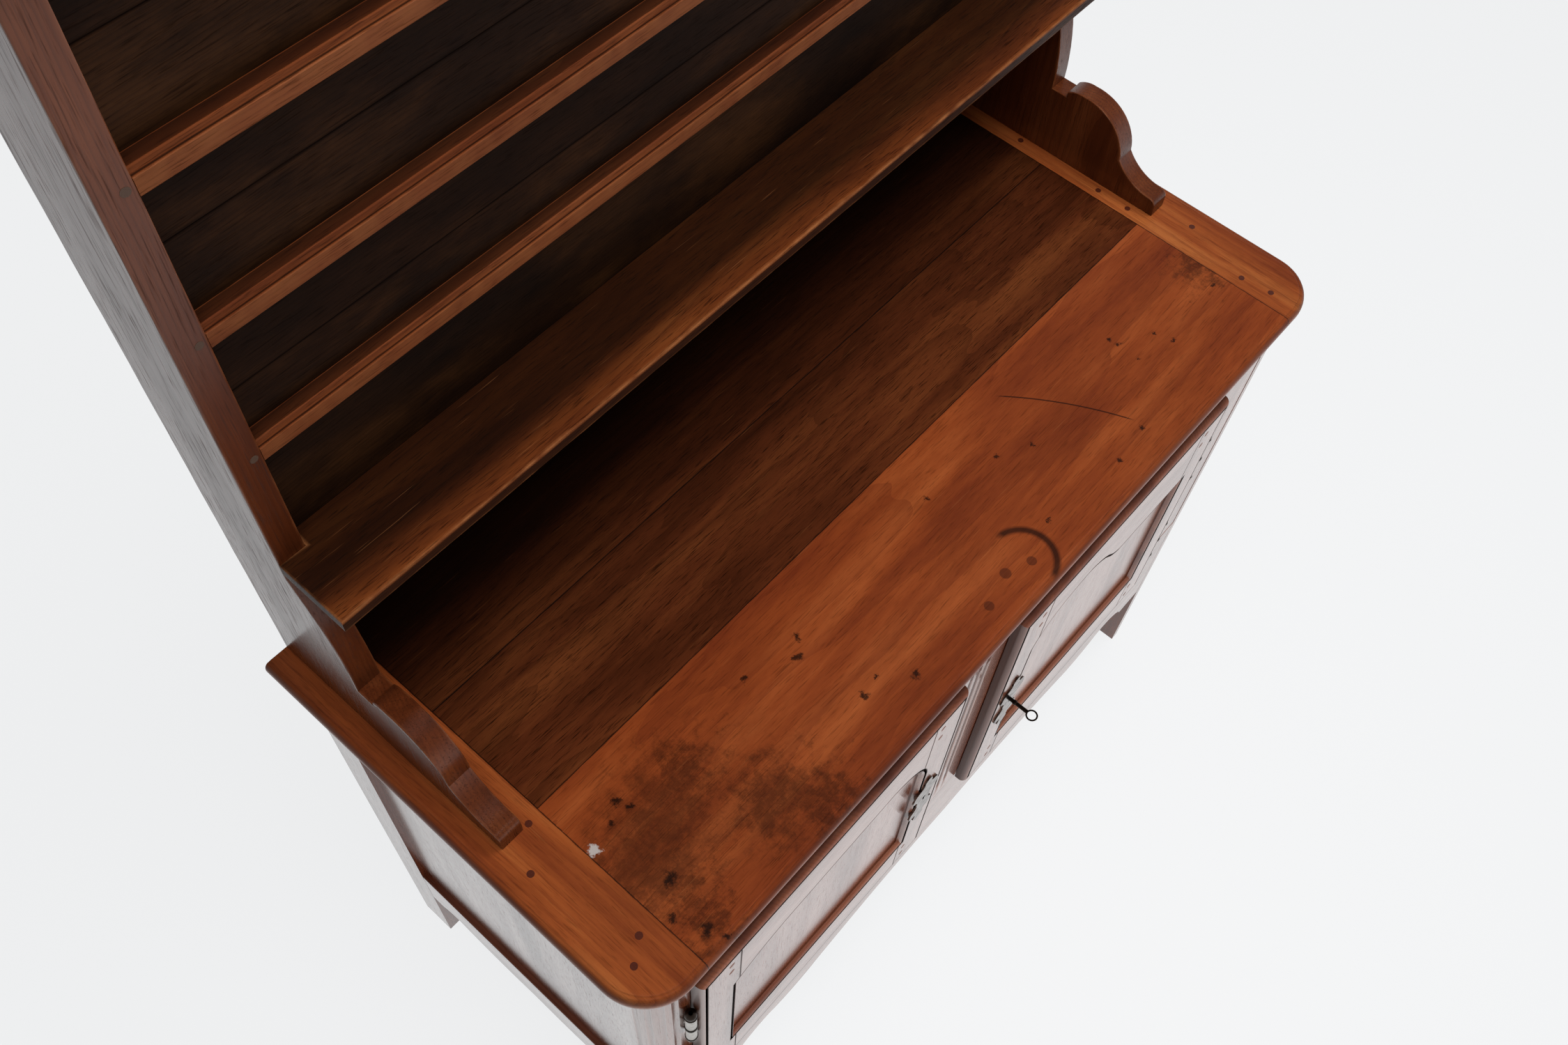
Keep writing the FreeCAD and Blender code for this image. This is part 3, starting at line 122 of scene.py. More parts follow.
def waxed_wood(name, dark, mid, light, worn, ring_mm=5.0, pore_mm=1.3, pore_length_mm=30.0, pores=0.55,
               stains=0.3, roughness=0.4, coat=0.2, shine=0.5, relief_mm=0.25, tone_mm=(700.0, 60.0),
               scratches=0.2, marks=None):
    """Old waxed wood: rings, pores, slow changes of tone, stains, scratches, rubbed arrises and grime.
    The pores are drawn about twice as wide as oak's 0.3 mm ones, or the picture would not hold them."""
    material, tree = new_material(name)
    grain = add(tree, "ShaderNodeAttribute", attribute_name="grain").outputs["Vector"]
    wear_and_shade = add(tree, "ShaderNodeAttribute", attribute_name="wear_and_shade").outputs["Fac"]
    # the rings wander along the board
    slow = add(tree, "ShaderNodeVectorMath", {0: grain, 1: (1.6, 7.0, 7.0)}, operation="MULTIPLY")
    wander = add(tree, "ShaderNodeTexNoise", {"Vector": slow.outputs[0], "Scale": 1.0, "Detail": 2.0})
    centred = add(tree, "ShaderNodeVectorMath", {0: wander.outputs["Color"], 1: (0.5, 0.5, 0.5)},
                  operation="SUBTRACT")
    shift = add(tree, "ShaderNodeVectorMath", {0: centred.outputs[0], 1: (0.0, 0.03, 0.03)},
                operation="MULTIPLY")
    bent = add(tree, "ShaderNodeVectorMath", {0: grain, 1: shift.outputs[0]}, operation="ADD").outputs[0]
    flat = add(tree, "ShaderNodeVectorMath", {0: bent, 1: (0.03, 1.0, 1.0)}, operation="MULTIPLY")
    rings = add(tree, "ShaderNodeTexWave",
                {"Vector": flat.outputs[0], "Scale": RING_PERIOD / (ring_mm * MM), "Distortion": 1.5,
                 "Detail": 2.0, "Detail Scale": 0.6},
                wave_type="RINGS", rings_direction="X", wave_profile="SAW").outputs["Fac"]
    # tone, pores, stains and rubbed patches: noise drawn out along the grain by its own two lengths
    fields = {"ring": rings}
    for key, source, (length, width), detail, rough in (
            ("tone", grain, tone_mm, 5.0, 0.65), ("pore", bent, (pore_length_mm, pore_mm), 2.0, 0.65),
            ("stain", grain, STAIN_MM, 6.0, 0.7), ("rub", grain, RUB_MM, 3.0, 0.5)):
        scale = [1 / (size * MM) for size in (length, width, width)]
        place = add(tree, "ShaderNodeVectorMath", {0: source, 1: scale}, operation="MULTIPLY")
        field = add(tree, "ShaderNodeTexNoise", {"Vector": place.outputs[0], "Scale": 1.0, "Detail": detail,
                                                "Roughness": rough})
        fields[key] = field.outputs["Fac"]
    # fine scratches run across the wax at an angle
    across = add(tree, "ShaderNodeMapping", {"Vector": grain, "Rotation": (0.0, 0.0, 0.7),
                                            "Scale": (14.0, 500.0, 500.0)})
    scratch = add(tree, "ShaderNodeTexNoise", {"Vector": across.outputs[0], "Scale": 1.0, "Detail": 1.0})
    fields["scratch"] = scratch.outputs["Fac"]
    # where each of them shows, and how strongly; wear_and_shade above nothing is a rubbed arris, below it is
    # grime and painted shade
    masks = {}
    for key, value, start, stop, low, high in (
            ("late", fields["ring"], 0.55, 1.0, 0.0, 0.4), ("pore", fields["pore"], 0.54, 0.68, 0.0, pores),
            ("stain", fields["stain"], 0.48, 0.75, 0.0, stains),
            ("scratch", fields["scratch"], 0.71, 0.78, 0.0, scratches),
            ("patch", fields["rub"], 0.35, 0.65, 0.1, 0.8), ("grime", wear_and_shade, 0.0, -1.0, 0.0, 0.95),
            ("dull", fields["tone"], 0.3, 0.7, roughness + 0.05, roughness - 0.05)):
        mask = add(tree, "ShaderNodeMapRange", {"Value": value, "From Min": start, "From Max": stop,
                                               "To Min": low, "To Max": high})
        masks[key] = mask.outputs[0]
    marked = add(tree, "ShaderNodeMath", {0: masks["patch"], 1: wear_and_shade}, operation="MULTIPLY", use_clamp=True)
    # colours laid over each other in the order that time laid them
    ramp = add(tree, "ShaderNodeValToRGB", {"Fac": fields["tone"]})
    for element, position, tint in zip(ramp.color_ramp.elements, (0.3, 0.7), (dark, light)):
        element.position, element.color = position, linear(tint)
    ramp.color_ramp.elements.new(0.5).color = linear(mid)
    deep = [c * 0.3 for c in linear(dark)[:3]] + [1.0]
    colour = ramp.outputs[0]
    for mask, tint in ((masks["late"], linear(dark)), (masks["pore"], deep), (masks["stain"], deep)):
        colour = add(tree, "ShaderNodeMix", {0: mask, FIRST: colour, SECOND: tint},
                     data_type="RGBA").outputs[MIXED]
    if marks:
        colour = marks(tree, colour)
    # near black where wear_and_shade is below nothing: grime, and painted shade in hollows
    for mask, tint in ((masks["scratch"], linear(worn)), (marked.outputs[0], linear(worn)),
                       (masks["grime"], GRIME_AND_SHADE)):
        colour = add(tree, "ShaderNodeMix", {0: mask, FIRST: colour, SECOND: tint},
                     data_type="RGBA").outputs[MIXED]
    # the wax is dull in pores, in grime and in painted shade
    dry = add(tree, "ShaderNodeMath", {0: masks["grime"], 1: masks["pore"]}, operation="MAXIMUM").outputs[0]
    matt = add(tree, "ShaderNodeMath", {0: dry, 1: 0.4, 2: masks["dull"]}, operation="MULTIPLY_ADD")
    waxed = add(tree, "ShaderNodeMath", {0: dry, 1: -coat, 2: coat}, operation="MULTIPLY_ADD", use_clamp=True)
    relief = add(tree, "ShaderNodeMath", {0: masks["pore"], 1: -1.0, 2: rings}, operation="MULTIPLY_ADD")
    bump = add(tree, "ShaderNodeBump", {"Strength": 0.3, "Distance": relief_mm * MM,
                                       "Height": relief.outputs[0]})
    shader = add(tree, "ShaderNodeBsdfPrincipled",
                 {"Base Color": colour, "Roughness": matt.outputs[0], "IOR": 1.5, "Specular IOR Level": shine,
                  "Coat Weight": waxed.outputs[0], "Coat Roughness": 0.16, "Normal": bump.outputs[0]})
    add(tree, "ShaderNodeOutputMaterial", {"Surface": shader.outputs[0]})
    return material


print("stains about", [round(mm) for mm in STAIN_MM], "mm long and wide")

# %% [markdown]
# ## Marks on the worktop
# A century of use left a ring where a wet pot stood, ink-black iron spots, a cloud of dark stains near the
# left end, three plugs, one bright patch and a hair crack. Grime fills the joints between the boards. They
# are colour in the wood and no shape, so they belong in the finish. Each mark is placed in object
# coordinates where the photograph shows it.

# %% Places of the marks
work_low, work_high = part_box("left_breadboard_end")
front_low, front_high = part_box("worktop_front_board")
middle_low, middle_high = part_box("worktop_middle_board")
joint_x = work_high.x
WORK_TOP = work_high.z
# x, y and radius of each mark
SPOTS_MM = [(378, -109, 6), (379, -122, 5), (427, -145, 4), (435, -172, 4), (374, -156, 4), (287, -221, 6),
            (171, -136, 4), (125, -111, 4), (225, -228, 5), (17, -83, 5), (552, -160, 4), (95, -212, 4),
            (-250, -111, 7), (-175, -224, 7), (-206, -189, 4), (-229, -92, 6), (-531, -179, 10),
            (-545, -242, 9), (-534, -261, 6), (-509, -79, 7), (-503, -94, 5), (-532, -92, 8),
            (-561, -208, 8), (-308, -83, 5), (-234, -195, 6)]
CLOUDS_MM = [(-494, -130, 95), (-395, -201, 80), (-357, -242, 60), (-547, -147, 85), (-439, -105, 70),
             (-531, -185, 60), (-540, -235, 50), (560, -130, 50)]
PLUGS_MM = [(35, -232, 7), (-48, -231, 7), (0, -219, 8)]
PATCH_MM = [(-563, -99, 8)]
# centre, radius and half width of an arc, then the axis, middle and half length that it is kept to
ARCS_MM = [(30.6, -223, 40.3, 6.5, "X", 76, 40), (-211, -402, 538, 1.5, "Y", -131, 72)]
print("marks:", sum(len(rows) for rows in (SPOTS_MM, CLOUDS_MM, PLUGS_MM, PATCH_MM, ARCS_MM)))


# %% Marks as layers of colour
def worktop_marks(tree, colour):
    """Dark clouds, black spots, plugs, a bright patch, a pot's ring, a crack, and grime in the joints."""
    place = add(tree, "ShaderNodeTexCoord").outputs["Object"]
    rough = add(tree, "ShaderNodeTexNoise", {"Vector": place, "Scale": 55.0, "Detail": 5.0, "Roughness": 0.75})
    off = add(tree, "ShaderNodeVectorMath", {0: rough.outputs["Color"], 1: (0.5, 0.5, 0.5)}, operation="SUBTRACT")
    jog = add(tree, "ShaderNodeVectorMath", {0: off.outputs[0], 1: (0.03, 0.03, 0.0)}, operation="MULTIPLY")
    torn = add(tree, "ShaderNodeVectorMath", {0: place, 1: jog.outputs[0]}, operation="ADD").outputs[0]
    drift = add(tree, "ShaderNodeVectorMath", {0: off.outputs[0], 1: (0.22, 0.2, 0.0)}, operation="MULTIPLY")
    cloudy = add(tree, "ShaderNodeVectorMath", {0: place, 1: drift.outputs[0]}, operation="ADD").outputs[0]
    # what tears each kind's edge, how strong it is, how much of its radius is solid, and its colour
    for rows, source, strength, core, stain in ((CLOUDS_MM, cloudy, 0.62, 0.0, "#1d0d07"),
                                                (SPOTS_MM, torn, 0.9, 0.3, "#170b07"),
                                                (PLUGS_MM, place, 0.6, 0.8, "#35160f"),
                                                (PATCH_MM, torn, 0.9, 0.6, "#b9b1ac")):
        total = None
        for x, y, radius in rows:
            away = add(tree, "ShaderNodeVectorMath", {0: source, 1: (x * MM, y * MM, WORK_TOP)},
                       operation="DISTANCE")
            mask = add(tree, "ShaderNodeMapRange",
                       {"Value": away.outputs["Value"], "From Min": radius * MM, "From Max": radius * core * MM,
                        "To Min": 0.0, "To Max": strength}, interpolation_type="SMOOTHSTEP")
            total = mask if total is None else add(
                tree, "ShaderNodeMath", {0: total.outputs[0], 1: mask.outputs[0]}, operation="MAXIMUM")
        stain_and_shade = add(tree, "ShaderNodeMix", {0: total.outputs[0], FIRST: colour, SECOND: linear(stain)},
                     data_type="RGBA")
        colour = stain_and_shade.outputs[MIXED]
    split = add(tree, "ShaderNodeSeparateXYZ", {0: place})
    for x, y, radius, width, along_axis, middle, half in ARCS_MM:
        away = add(tree, "ShaderNodeVectorMath", {0: place, 1: (x * MM, y * MM, WORK_TOP)}, operation="DISTANCE")
        apart = add(tree, "ShaderNodeMath", {0: away.outputs["Value"], 1: radius * MM}, operation="SUBTRACT")
        near = add(tree, "ShaderNodeMath", {0: apart.outputs[0]}, operation="ABSOLUTE")
        band = add(tree, "ShaderNodeMapRange", {"Value": near.outputs[0], "From Min": width * MM,
                                               "From Max": width * 0.3 * MM, "To Min": 0.0, "To Max": 0.85})
        shifted = add(tree, "ShaderNodeMath", {0: split.outputs[along_axis], 1: middle * MM},
                      operation="SUBTRACT")
        reach = add(tree, "ShaderNodeMath", {0: shifted.outputs[0]}, operation="ABSOLUTE")
        ends = add(tree, "ShaderNodeMapRange", {"Value": reach.outputs[0], "From Min": (half + 5) * MM,
                                               "From Max": (half - 5) * MM, "To Min": 0.0, "To Max": 1.0})
        arc = add(tree, "ShaderNodeMath", {0: band.outputs[0], 1: ends.outputs[0]}, operation="MULTIPLY")
        lined = add(tree, "ShaderNodeMix", {0: arc.outputs[0], FIRST: colour, SECOND: linear("#1c0d08")},
                    data_type="RGBA")
        colour = lined.outputs[MIXED]
    return joint_grime(tree, colour)


def back_shade(start, end, rim=None):
    """Painted shade: boards that darken from one y value to another, towards the back where the shelves above
    shade them. A shelf also gives its rim, the z value below which its front edge is painted in shade; the
    worktop's boards have joints instead."""
    def marks(tree, colour):
        split = add(tree, "ShaderNodeSeparateXYZ", {0: add(tree, "ShaderNodeTexCoord").outputs["Object"]})
        total = add(tree, "ShaderNodeMapRange", {"Value": split.outputs["Y"], "From Min": start, "From Max": end,
                                                "To Min": 0.0, "To Max": 0.85})
        if rim:
            low = add(tree, "ShaderNodeMapRange", {"Value": split.outputs["Z"], "From Min": rim,
                                                  "From Max": rim - 3 * MM, "To Min": 0.0, "To Max": 0.85})
            total = add(tree, "ShaderNodeMath", {0: total.outputs[0], 1: low.outputs[0]}, operation="MAXIMUM")
        # painted shade: mixed towards near black at the back, and on the shelf's front edge below its rim
        stain_and_shade = add(tree, "ShaderNodeMix", {0: total.outputs[0], FIRST: colour, SECOND: linear("#0f0805")},
                     data_type="RGBA")
        return stain_and_shade.outputs[MIXED] if rim else joint_grime(tree, stain_and_shade.outputs[MIXED])
    return marks


def joint_grime(tree, colour):
    """Dark lines where the boards meet each other and the two ends."""
    split = add(tree, "ShaderNodeSeparateXYZ", {0: add(tree, "ShaderNodeTexCoord").outputs["Object"]})
    side = add(tree, "ShaderNodeMath", {0: split.outputs["X"]}, operation="ABSOLUTE")
    width = add(tree, "ShaderNodeTexNoise", {"Scale": 40.0, "Detail": 3.0})
    half_width = add(tree, "ShaderNodeMapRange", {"Value": width.outputs["Fac"], "From Min": 0.3, "From Max": 0.7,
                                                 "To Min": 0.5 * MM, "To Max": 1.7 * MM})
    inner = add(tree, "ShaderNodeMath", {0: side.outputs[0], 1: -joint_x}, operation="LESS_THAN")
    total = None
    for source, line in ((side.outputs[0], -joint_x), (split.outputs["Y"], front_high.y),
                         (split.outputs["Y"], middle_high.y)):
        gap = add(tree, "ShaderNodeMath", {0: source, 1: line}, operation="SUBTRACT")
        near = add(tree, "ShaderNodeMath", {0: gap.outputs[0]}, operation="ABSOLUTE")
        mask = add(tree, "ShaderNodeMapRange", {"Value": near.outputs[0], "From Min": half_width.outputs[0],
                                               "From Max": 0.0, "To Min": 0.0, "To Max": 1.0})
        if total is None:
            total = mask
            continue
        kept = add(tree, "ShaderNodeMath", {0: mask.outputs[0], 1: inner.outputs[0]}, operation="MULTIPLY")
        total = add(tree, "ShaderNodeMath", {0: total.outputs[0], 1: kept.outputs[0]}, operation="MAXIMUM")
    lined = add(tree, "ShaderNodeMix", {0: total.outputs[0], FIRST: colour, SECOND: GRIME_AND_SHADE}, data_type="RGBA")
    return lined.outputs[MIXED]


print("joints at y", [round(y, 4) for y in (front_high.y, middle_high.y)], "and at x", round(joint_x, 4))

# %% The woods of this dresser
# the level below which the serving shelf's front edge is painted in shade
SHELF_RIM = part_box("serving_shelf")[1].z - 2 * MM
# oak, planed and waxed for generations: brown-red, and smooth enough to mirror the pale floor
frame_oak = waxed_wood("waxed_oak_frame", "#642f1c", "#8a4a30", "#a25f40", "#9a5a3e", pores=0.25, stains=0.12,
                       roughness=0.2, coat=0.5, relief_mm=0.04, scratches=0.1)
# waxed less often than the frame: darker, with long open pores
upright_oak = waxed_wood("waxed_oak_uprights", "#3d1a0b", "#582913", "#6c381d", "#7a4628", pores=0.6,
                         stains=0.2, roughness=0.28, coat=0.2, shine=0.25, pore_length_mm=60.0, pore_mm=1.6,
                         relief_mm=0.1)
# scrubbed and polished by hands and cloths: warm red-brown with a low sheen
front_top = waxed_wood("polished_worktop_front", "#672a14", "#863e1c", "#9e5128", "#a6653a", ring_mm=7.0,
                       pores=0.45, stains=0.25, roughness=0.34, coat=0.15, shine=0.15,
                       tone_mm=(420.0, 60.0), relief_mm=0.08, marks=worktop_marks)
# the ends take the most handling: the palest and most orange of the boards
end_top = waxed_wood("polished_breadboard_ends", "#6e3018", "#964c24", "#b16836", "#b97842", ring_mm=8.0,
                     pores=0.4, stains=0.3, roughness=0.34, coat=0.15, shine=0.15, relief_mm=0.08,
                     marks=joint_grime)
# the boards that saw less cloth stay dark and dull; towards the back they carry painted shade from the serving
# shelf above
middle_top = waxed_wood("waxed_oak_worktop", "#311408", "#522612", "#6c381b", "#784826", ring_mm=4.0,
                        pore_mm=1.2, pores=0.85, stains=0.35, roughness=0.5, coat=0.0, shine=0.1,
                        marks=back_shade(0.04, 0.26))
# the deep shelf: a rubbed brown front; behind it, and on its front edge, painted shade close to black
shelf_oak = waxed_wood("waxed_oak_shelves", "#3d1a0e", "#683417", "#854c25", "#965f38", pores=0.8, stains=0.35,
                       roughness=0.5, coat=0.0, shine=0.1, marks=back_shade(0.128, 0.168, SHELF_RIM))
# the fronts of the plate shelves: dull red-brown, rubbed by plates
ledge_oak = waxed_wood("waxed_oak_ledges", "#4c2110", "#683419", "#7e4626", "#8a5430", pores=0.6, stains=0.25,
                       roughness=0.5, coat=0.0, shine=0.15)
# sawn boards that were never waxed: almost black with dust and smoke, darkened further with painted shade of the
# gaps between the rack's shelves, and blotchy
board_oak = waxed_wood("dry_oak_back_boards", "#0a0402", "#1f1007", "#3d2412", "#40281a", pores=0.5, stains=0.7,
                       roughness=0.6, coat=0.0, shine=0.08, tone_mm=(330.0, 110.0))
print("woods:", [m.name for m in bpy.data.materials if "oak" in m.name or "polished" in m.name])

# %% [markdown]
# ## Metals and pegs
# The lock plates and key are black iron, oiled and handled. The hinge barrels have been rubbed bright.
# Pegs show their end grain, which drinks the wax and stays darker than the boards round it.

# %% Iron and steel
def metal(name, base, high, roughness, scale_mm):
    """Bare metal whose colour and polish change in blotches of one size."""
    material, tree = new_material(name)
    place = add(tree, "ShaderNodeTexCoord").outputs["Object"]
    blotch = add(tree, "ShaderNodeTexNoise", {"Vector": place, "Scale": 1 / (scale_mm * MM), "Detail": 5.0,
                                             "Roughness": 0.7})
    colour = add(tree, "ShaderNodeMix", {0: blotch.outputs["Fac"], FIRST: linear(base), SECOND: linear(high)},
                 data_type="RGBA")
    rough = add(tree, "ShaderNodeMapRange", {"Value": blotch.outputs["Fac"], "From Min": 0.3, "From Max": 0.7,
                                            "To Min": roughness + 0.12, "To Max": roughness - 0.08})
    bump = add(tree, "ShaderNodeBump", {"Strength": 0.3, "Distance": 0.0002, "Height": blotch.outputs["Fac"]})
    shader = add(tree, "ShaderNodeBsdfPrincipled",
                 {"Base Color": colour.outputs[MIXED], "Metallic": 1.0, "Roughness": rough.outputs[0],
                  "Normal": bump.outputs[0]})
    add(tree, "ShaderNodeOutputMaterial", {"Surface": shader.outputs[0]})
    return material


# forged iron, oiled and handled: nearly black, with soft highlights
black_iron = metal("oiled_black_iron", "#221c19", "#40362f", 0.34, 4.0)
# sheet iron, rubbed by hands on the face: it mirrors the floor as the door beside it does
plate_iron = metal("rubbed_iron_plates", "#3d3029", "#6d5a4f", 0.2, 9.0)
# turned steel that the doors keep rubbed bright: pale grey
bright_steel = metal("rubbed_bright_steel", "#8b8681", "#c9c4bd", 0.3, 5.0)
# rolled steel inside the lock: dull, dark grey
lock_steel = metal("dull_lock_steel", "#3a3531", "#6a625b", 0.5, 6.0)
print("metals:", [m.name for m in (black_iron, plate_iron, bright_steel, lock_steel)])


# %% End grain
def end_grain(name, dark, light):
    """Cut-off end grain: fine dark and pale specks, drawn coarser than oak's vessels so that they show."""
    material, tree = new_material(name)
    place = add(tree, "ShaderNodeTexCoord").outputs["Object"]
    specks = add(tree, "ShaderNodeTexNoise", {"Vector": place, "Scale": 700.0, "Detail": 3.0, "Roughness": 0.7})
    colour = add(tree, "ShaderNodeMix", {0: specks.outputs["Fac"], FIRST: linear(dark), SECOND: linear(light)},
                 data_type="RGBA")
    bump = add(tree, "ShaderNodeBump", {"Strength": 0.4, "Distance": 0.0003, "Height": specks.outputs["Fac"]})
    shader = add(tree, "ShaderNodeBsdfPrincipled",
                 {"Base Color": colour.outputs[MIXED], "Roughness": 0.5, "Normal": bump.outputs[0]})
    add(tree, "ShaderNodeOutputMaterial", {"Surface": shader.outputs[0]})
    return material


# pegs in the worktop: dark dots, black-red with polish
peg_wood = end_grain("waxed_end_grain_pegs", "#35140d", "#5c2a1a")
# pegs in the uprights: drier and greyer
pale_peg = end_grain("dry_end_grain_pegs", "#2c1a12", "#58402f")
# pegs in the doors: close to the frame's own colour, hardly seen
frame_peg = end_grain("waxed_end_grain_in_doors", "#6a3a26", "#8a5038")
print("pegs:", [m.name for m in (peg_wood, pale_peg, frame_peg)])

# %% [markdown]
# ## How a board is made
# A board is an outline with a thickness. Rings of the outline are stacked through the thickness, pulled in
# a little at both faces, which gives the rounded arris that use wears on. The pull varies along the edge,
# so the arris is never ruled straight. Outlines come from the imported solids, so the shapes can't drift.

# %% Outlines of the solids
FLAT_AXES = {0: (1, 2), 1: (0, 2), 2: (0, 1)}


def area(points):
    """Area inside an outline, below nothing where it runs clockwise."""
    return sum(a[0] * b[1] - b[0] * a[1] for a, b in zip(points, points[1:] + points[:1])) / 2


def outline_of(node, axis, high):
    """Outer edge of a solid's flat face at its low or high end along an axis, anticlockwise."""
    mesh = bmesh.new()
    mesh.from_mesh(frame["nodes"][node].data)
    bmesh.ops.remove_doubles(mesh, verts=mesh.verts, dist=1e-5)
    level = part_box(node)[1 if high else 0][axis]
    faces = {f for f in mesh.faces
             if abs(f.normal[axis]) > 0.99 and all(abs(v.co[axis] - level) < 1e-5 for v in f.verts)}
    step = {}
    for face in faces:
        for loop in face.loops:
            if sum(other in faces for other in loop.edge.link_faces) == 1:
                step[loop.vert.index] = loop.link_loop_next.vert.index
    points = {v.index: tuple(v.co[a] for a in FLAT_AXES[axis]) for v in mesh.verts}
    mesh.free()
    best = []
    while step:
        start, current = next(iter(step.items()))
        ring = [points[start]]
        del step[start]
        while current != start:
            ring.append(points[current])
            current = step.pop(current)
        if abs(area(ring)) > abs(area(best)) or not best:
            best = ring
    if area(best) < 0:
        best.reverse()
    return clean(best)


def clean(points):
    """The outline without points that lie on a straight run."""
    kept = []
    for before, here, after in zip(points[-1:] + points[:-1], points, points[1:] + points[:1]):
        first = Vector((here[0] - before[0], here[1] - before[1]))
        second = Vector((after[0] - here[0], after[1] - here[1]))
        if first.length > 1e-6 and abs(first.normalized().cross(second.normalized())) > 1e-3:
            kept.append(here)
    return kept


print("outline of the left upright has", len(outline_of("left_upright", 0, False)), "points")


# %% Outlines divided and pulled in
def divided(points, step=0.03):
    """The outline with points added along its long runs."""
    more = []
    for a, b in zip(points, points[1:] + points[:1]):
        parts = max(1, int(math.dist(a, b) / step))
        more += [(a[0] + (b[0] - a[0]) * i / parts, a[1] + (b[1] - a[1]) * i / parts) for i in range(parts)]
    return more


def inset(points, distance, shares=None):
    """The outline pulled in by a distance; shares says how much of it each edge takes."""
    shares = shares or [1.0] * len(points)
    moved = []
    for i, here in enumerate(points):
        before, after = points[i - 1], points[(i + 1) % len(points)]
        a = Vector((here[0] - before[0], here[1] - before[1])).normalized()
        b = Vector((after[0] - here[0], after[1] - here[1])).normalized()
        na, nb = Vector((-a.y, a.x)), Vector((-b.y, b.x))
        da, db = distance * shares[i - 1], distance * shares[i]
        det = na.x * nb.y - na.y * nb.x
        if abs(det) < 1e-4:
            moved.append((here[0] + nb.x * db, here[1] + nb.y * db))
        else:
            moved.append((here[0] + (da * nb.y - db * na.y) / det, here[1] + (na.x * db - nb.x * da) / det))
    return moved


def rectangle(low_u, low_v, high_u, high_v):
    """Four corners, anticlockwise."""
    return [(low_u, low_v), (high_u, low_v), (high_u, high_v), (low_u, high_v)]


print("a unit square pulled in by a tenth covers", round(area(inset(rectangle(0, 0, 1, 1), 0.1)), 4))

# %% Skin and grain
SMOOTH_ANGLE = 0.5


def raised(points, axis, level):
    """Flat outline points at a level along an axis."""
    u, v = FLAT_AXES[axis]
    placed = []
    for point in points:
        spot = [0.0, 0.0, 0.0]
        spot[axis], spot[u], spot[v] = level, point[0], point[1]
        placed.append(tuple(spot))
    return placed


def skin(name, rings, wear_and_shade, loop=False):
    """A closed mesh through rings of points. wear_and_shade says how rubbed each ring is, or each of its points;
    below nothing it is grime and painted shade."""
    count = len(rings[0])
    mesh = bmesh.new()
    marked = mesh.verts.layers.float.new("wear_and_shade")
    rows = [[mesh.verts.new(p) for p in ring] for ring in rings]
    for row, amounts in zip(rows, wear_and_shade):
        for vert, amount in zip(row, amounts if isinstance(amounts, list) else [amounts] * count):
            vert[marked] = amount
    pairs = list(zip(rows, rows[1:])) + ([(rows[-1], rows[0])] if loop else [])
    for low, high in pairs:
        for i in range(count):
            j = (i + 1) % count
            mesh.faces.new((low[i], low[j], high[j], high[i]))
    caps = [] if loop else [mesh.faces.new(rows[0][::-1]), mesh.faces.new(rows[-1])]
    bmesh.ops.recalc_face_normals(mesh, faces=mesh.faces)
    for face in mesh.faces:
        face.smooth = True
    for edge in mesh.edges:
        on_cap = any(face in caps for face in edge.link_faces)
        edge.smooth = not on_cap and edge.calc_face_angle(0) < SMOOTH_ANGLE
    if caps:
        bmesh.ops.triangulate(mesh, faces=caps)
    made = bpy.data.meshes.new(name)
    mesh.to_mesh(made)
    mesh.free()
    return made


def give_grain(mesh, axis, seed, rows=None):
    """Store metres along, across and through the wood; rows=(axis, start, pitch) shifts each board of a row."""
    order = [axis] + [a for a in range(3) if a != axis]
    attribute = mesh.attributes.new("grain", "FLOAT_VECTOR", "POINT")
    shifts = {}
    values = []
    for vert in mesh.vertices:
        key = 0 if rows is None else int((vert.co[rows[0]] - rows[1]) / rows[2] + 1e-4)
        if key not in shifts:
            draw = random.Random(seed * 100 + key)
            shifts[key] = (draw.uniform(-4, 4), draw.uniform(-0.10, 0.10), draw.uniform(0.03, 0.11))
        values += [vert.co[a] + s for a, s in zip(order, shifts[key])]
    attribute.data.foreach_set("vector", values)
    if "wear_and_shade" not in mesh.attributes:
        mesh.attributes.new("wear_and_shade", "FLOAT", "POINT")


print("edges that turn by more than", round(math.degrees(SMOOTH_ANGLE)), "degrees stay crisp")

# %% Pieces and boards
pieces_made = []


def piece(mesh, body, material, *nodes, slot=None):
    """A finished piece: its material, its body, and the solids that it stands for; slot is not used."""
    obj = bpy.data.objects.new(mesh.name, mesh)
    bpy.context.scene.collection.objects.link(obj)
    mesh.materials.clear()
    mesh.materials.append(material)
    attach(obj, body)
    if nodes:
        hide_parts(*nodes)
    pieces_made.append(obj.name)
    return obj


# (pull, depth, rubbing) of each ring over an arris, as shares of its size
ARRIS_RINGS = ((2.2, 0.0, 0.0), (1.0, 0.0, 0.5), (0.3, 0.3, 1.0), (0.0, 1.0, 0.5), (0.0, 2.2, 0.0))


def worn(points, spread, seed):
    """How far each point of an outline is rubbed, between nothing and twice the usual."""
    return [1 + spread * noise.noise(Vector((p[0] * 23 + seed * 7.3, p[1] * 23, seed * 1.7))) for p in points]


def board(name, outline, axis, low, high, arris=1.0, seed=0, spread=0.8, edge=1.0):
    """A board with rubbed arrises on both faces; edge scales the rubbing, and grimes it below nothing."""
    points = divided(outline)
    pull = worn(points, spread, seed)
    soft = arris * MM
    rings = []
    for share, depth, amount in ARRIS_RINGS:
        pulled = inset(points, soft * share)
        mixed = [tuple(p + (q - p) * k for p, q in zip(a, b)) for a, b, k in zip(points, pulled, pull)]
        rings.append((mixed, depth * soft, amount * edge))
    wear_and_shade = [amount for _, _, amount in rings]
    lower = [raised(mixed, axis, low + depth) for mixed, depth, _ in rings]
    upper = [raised(mixed, axis, high - depth) for mixed, depth, _ in reversed(rings)]
    return skin(name, lower + upper, wear_and_shade + wear_and_shade[::-1])


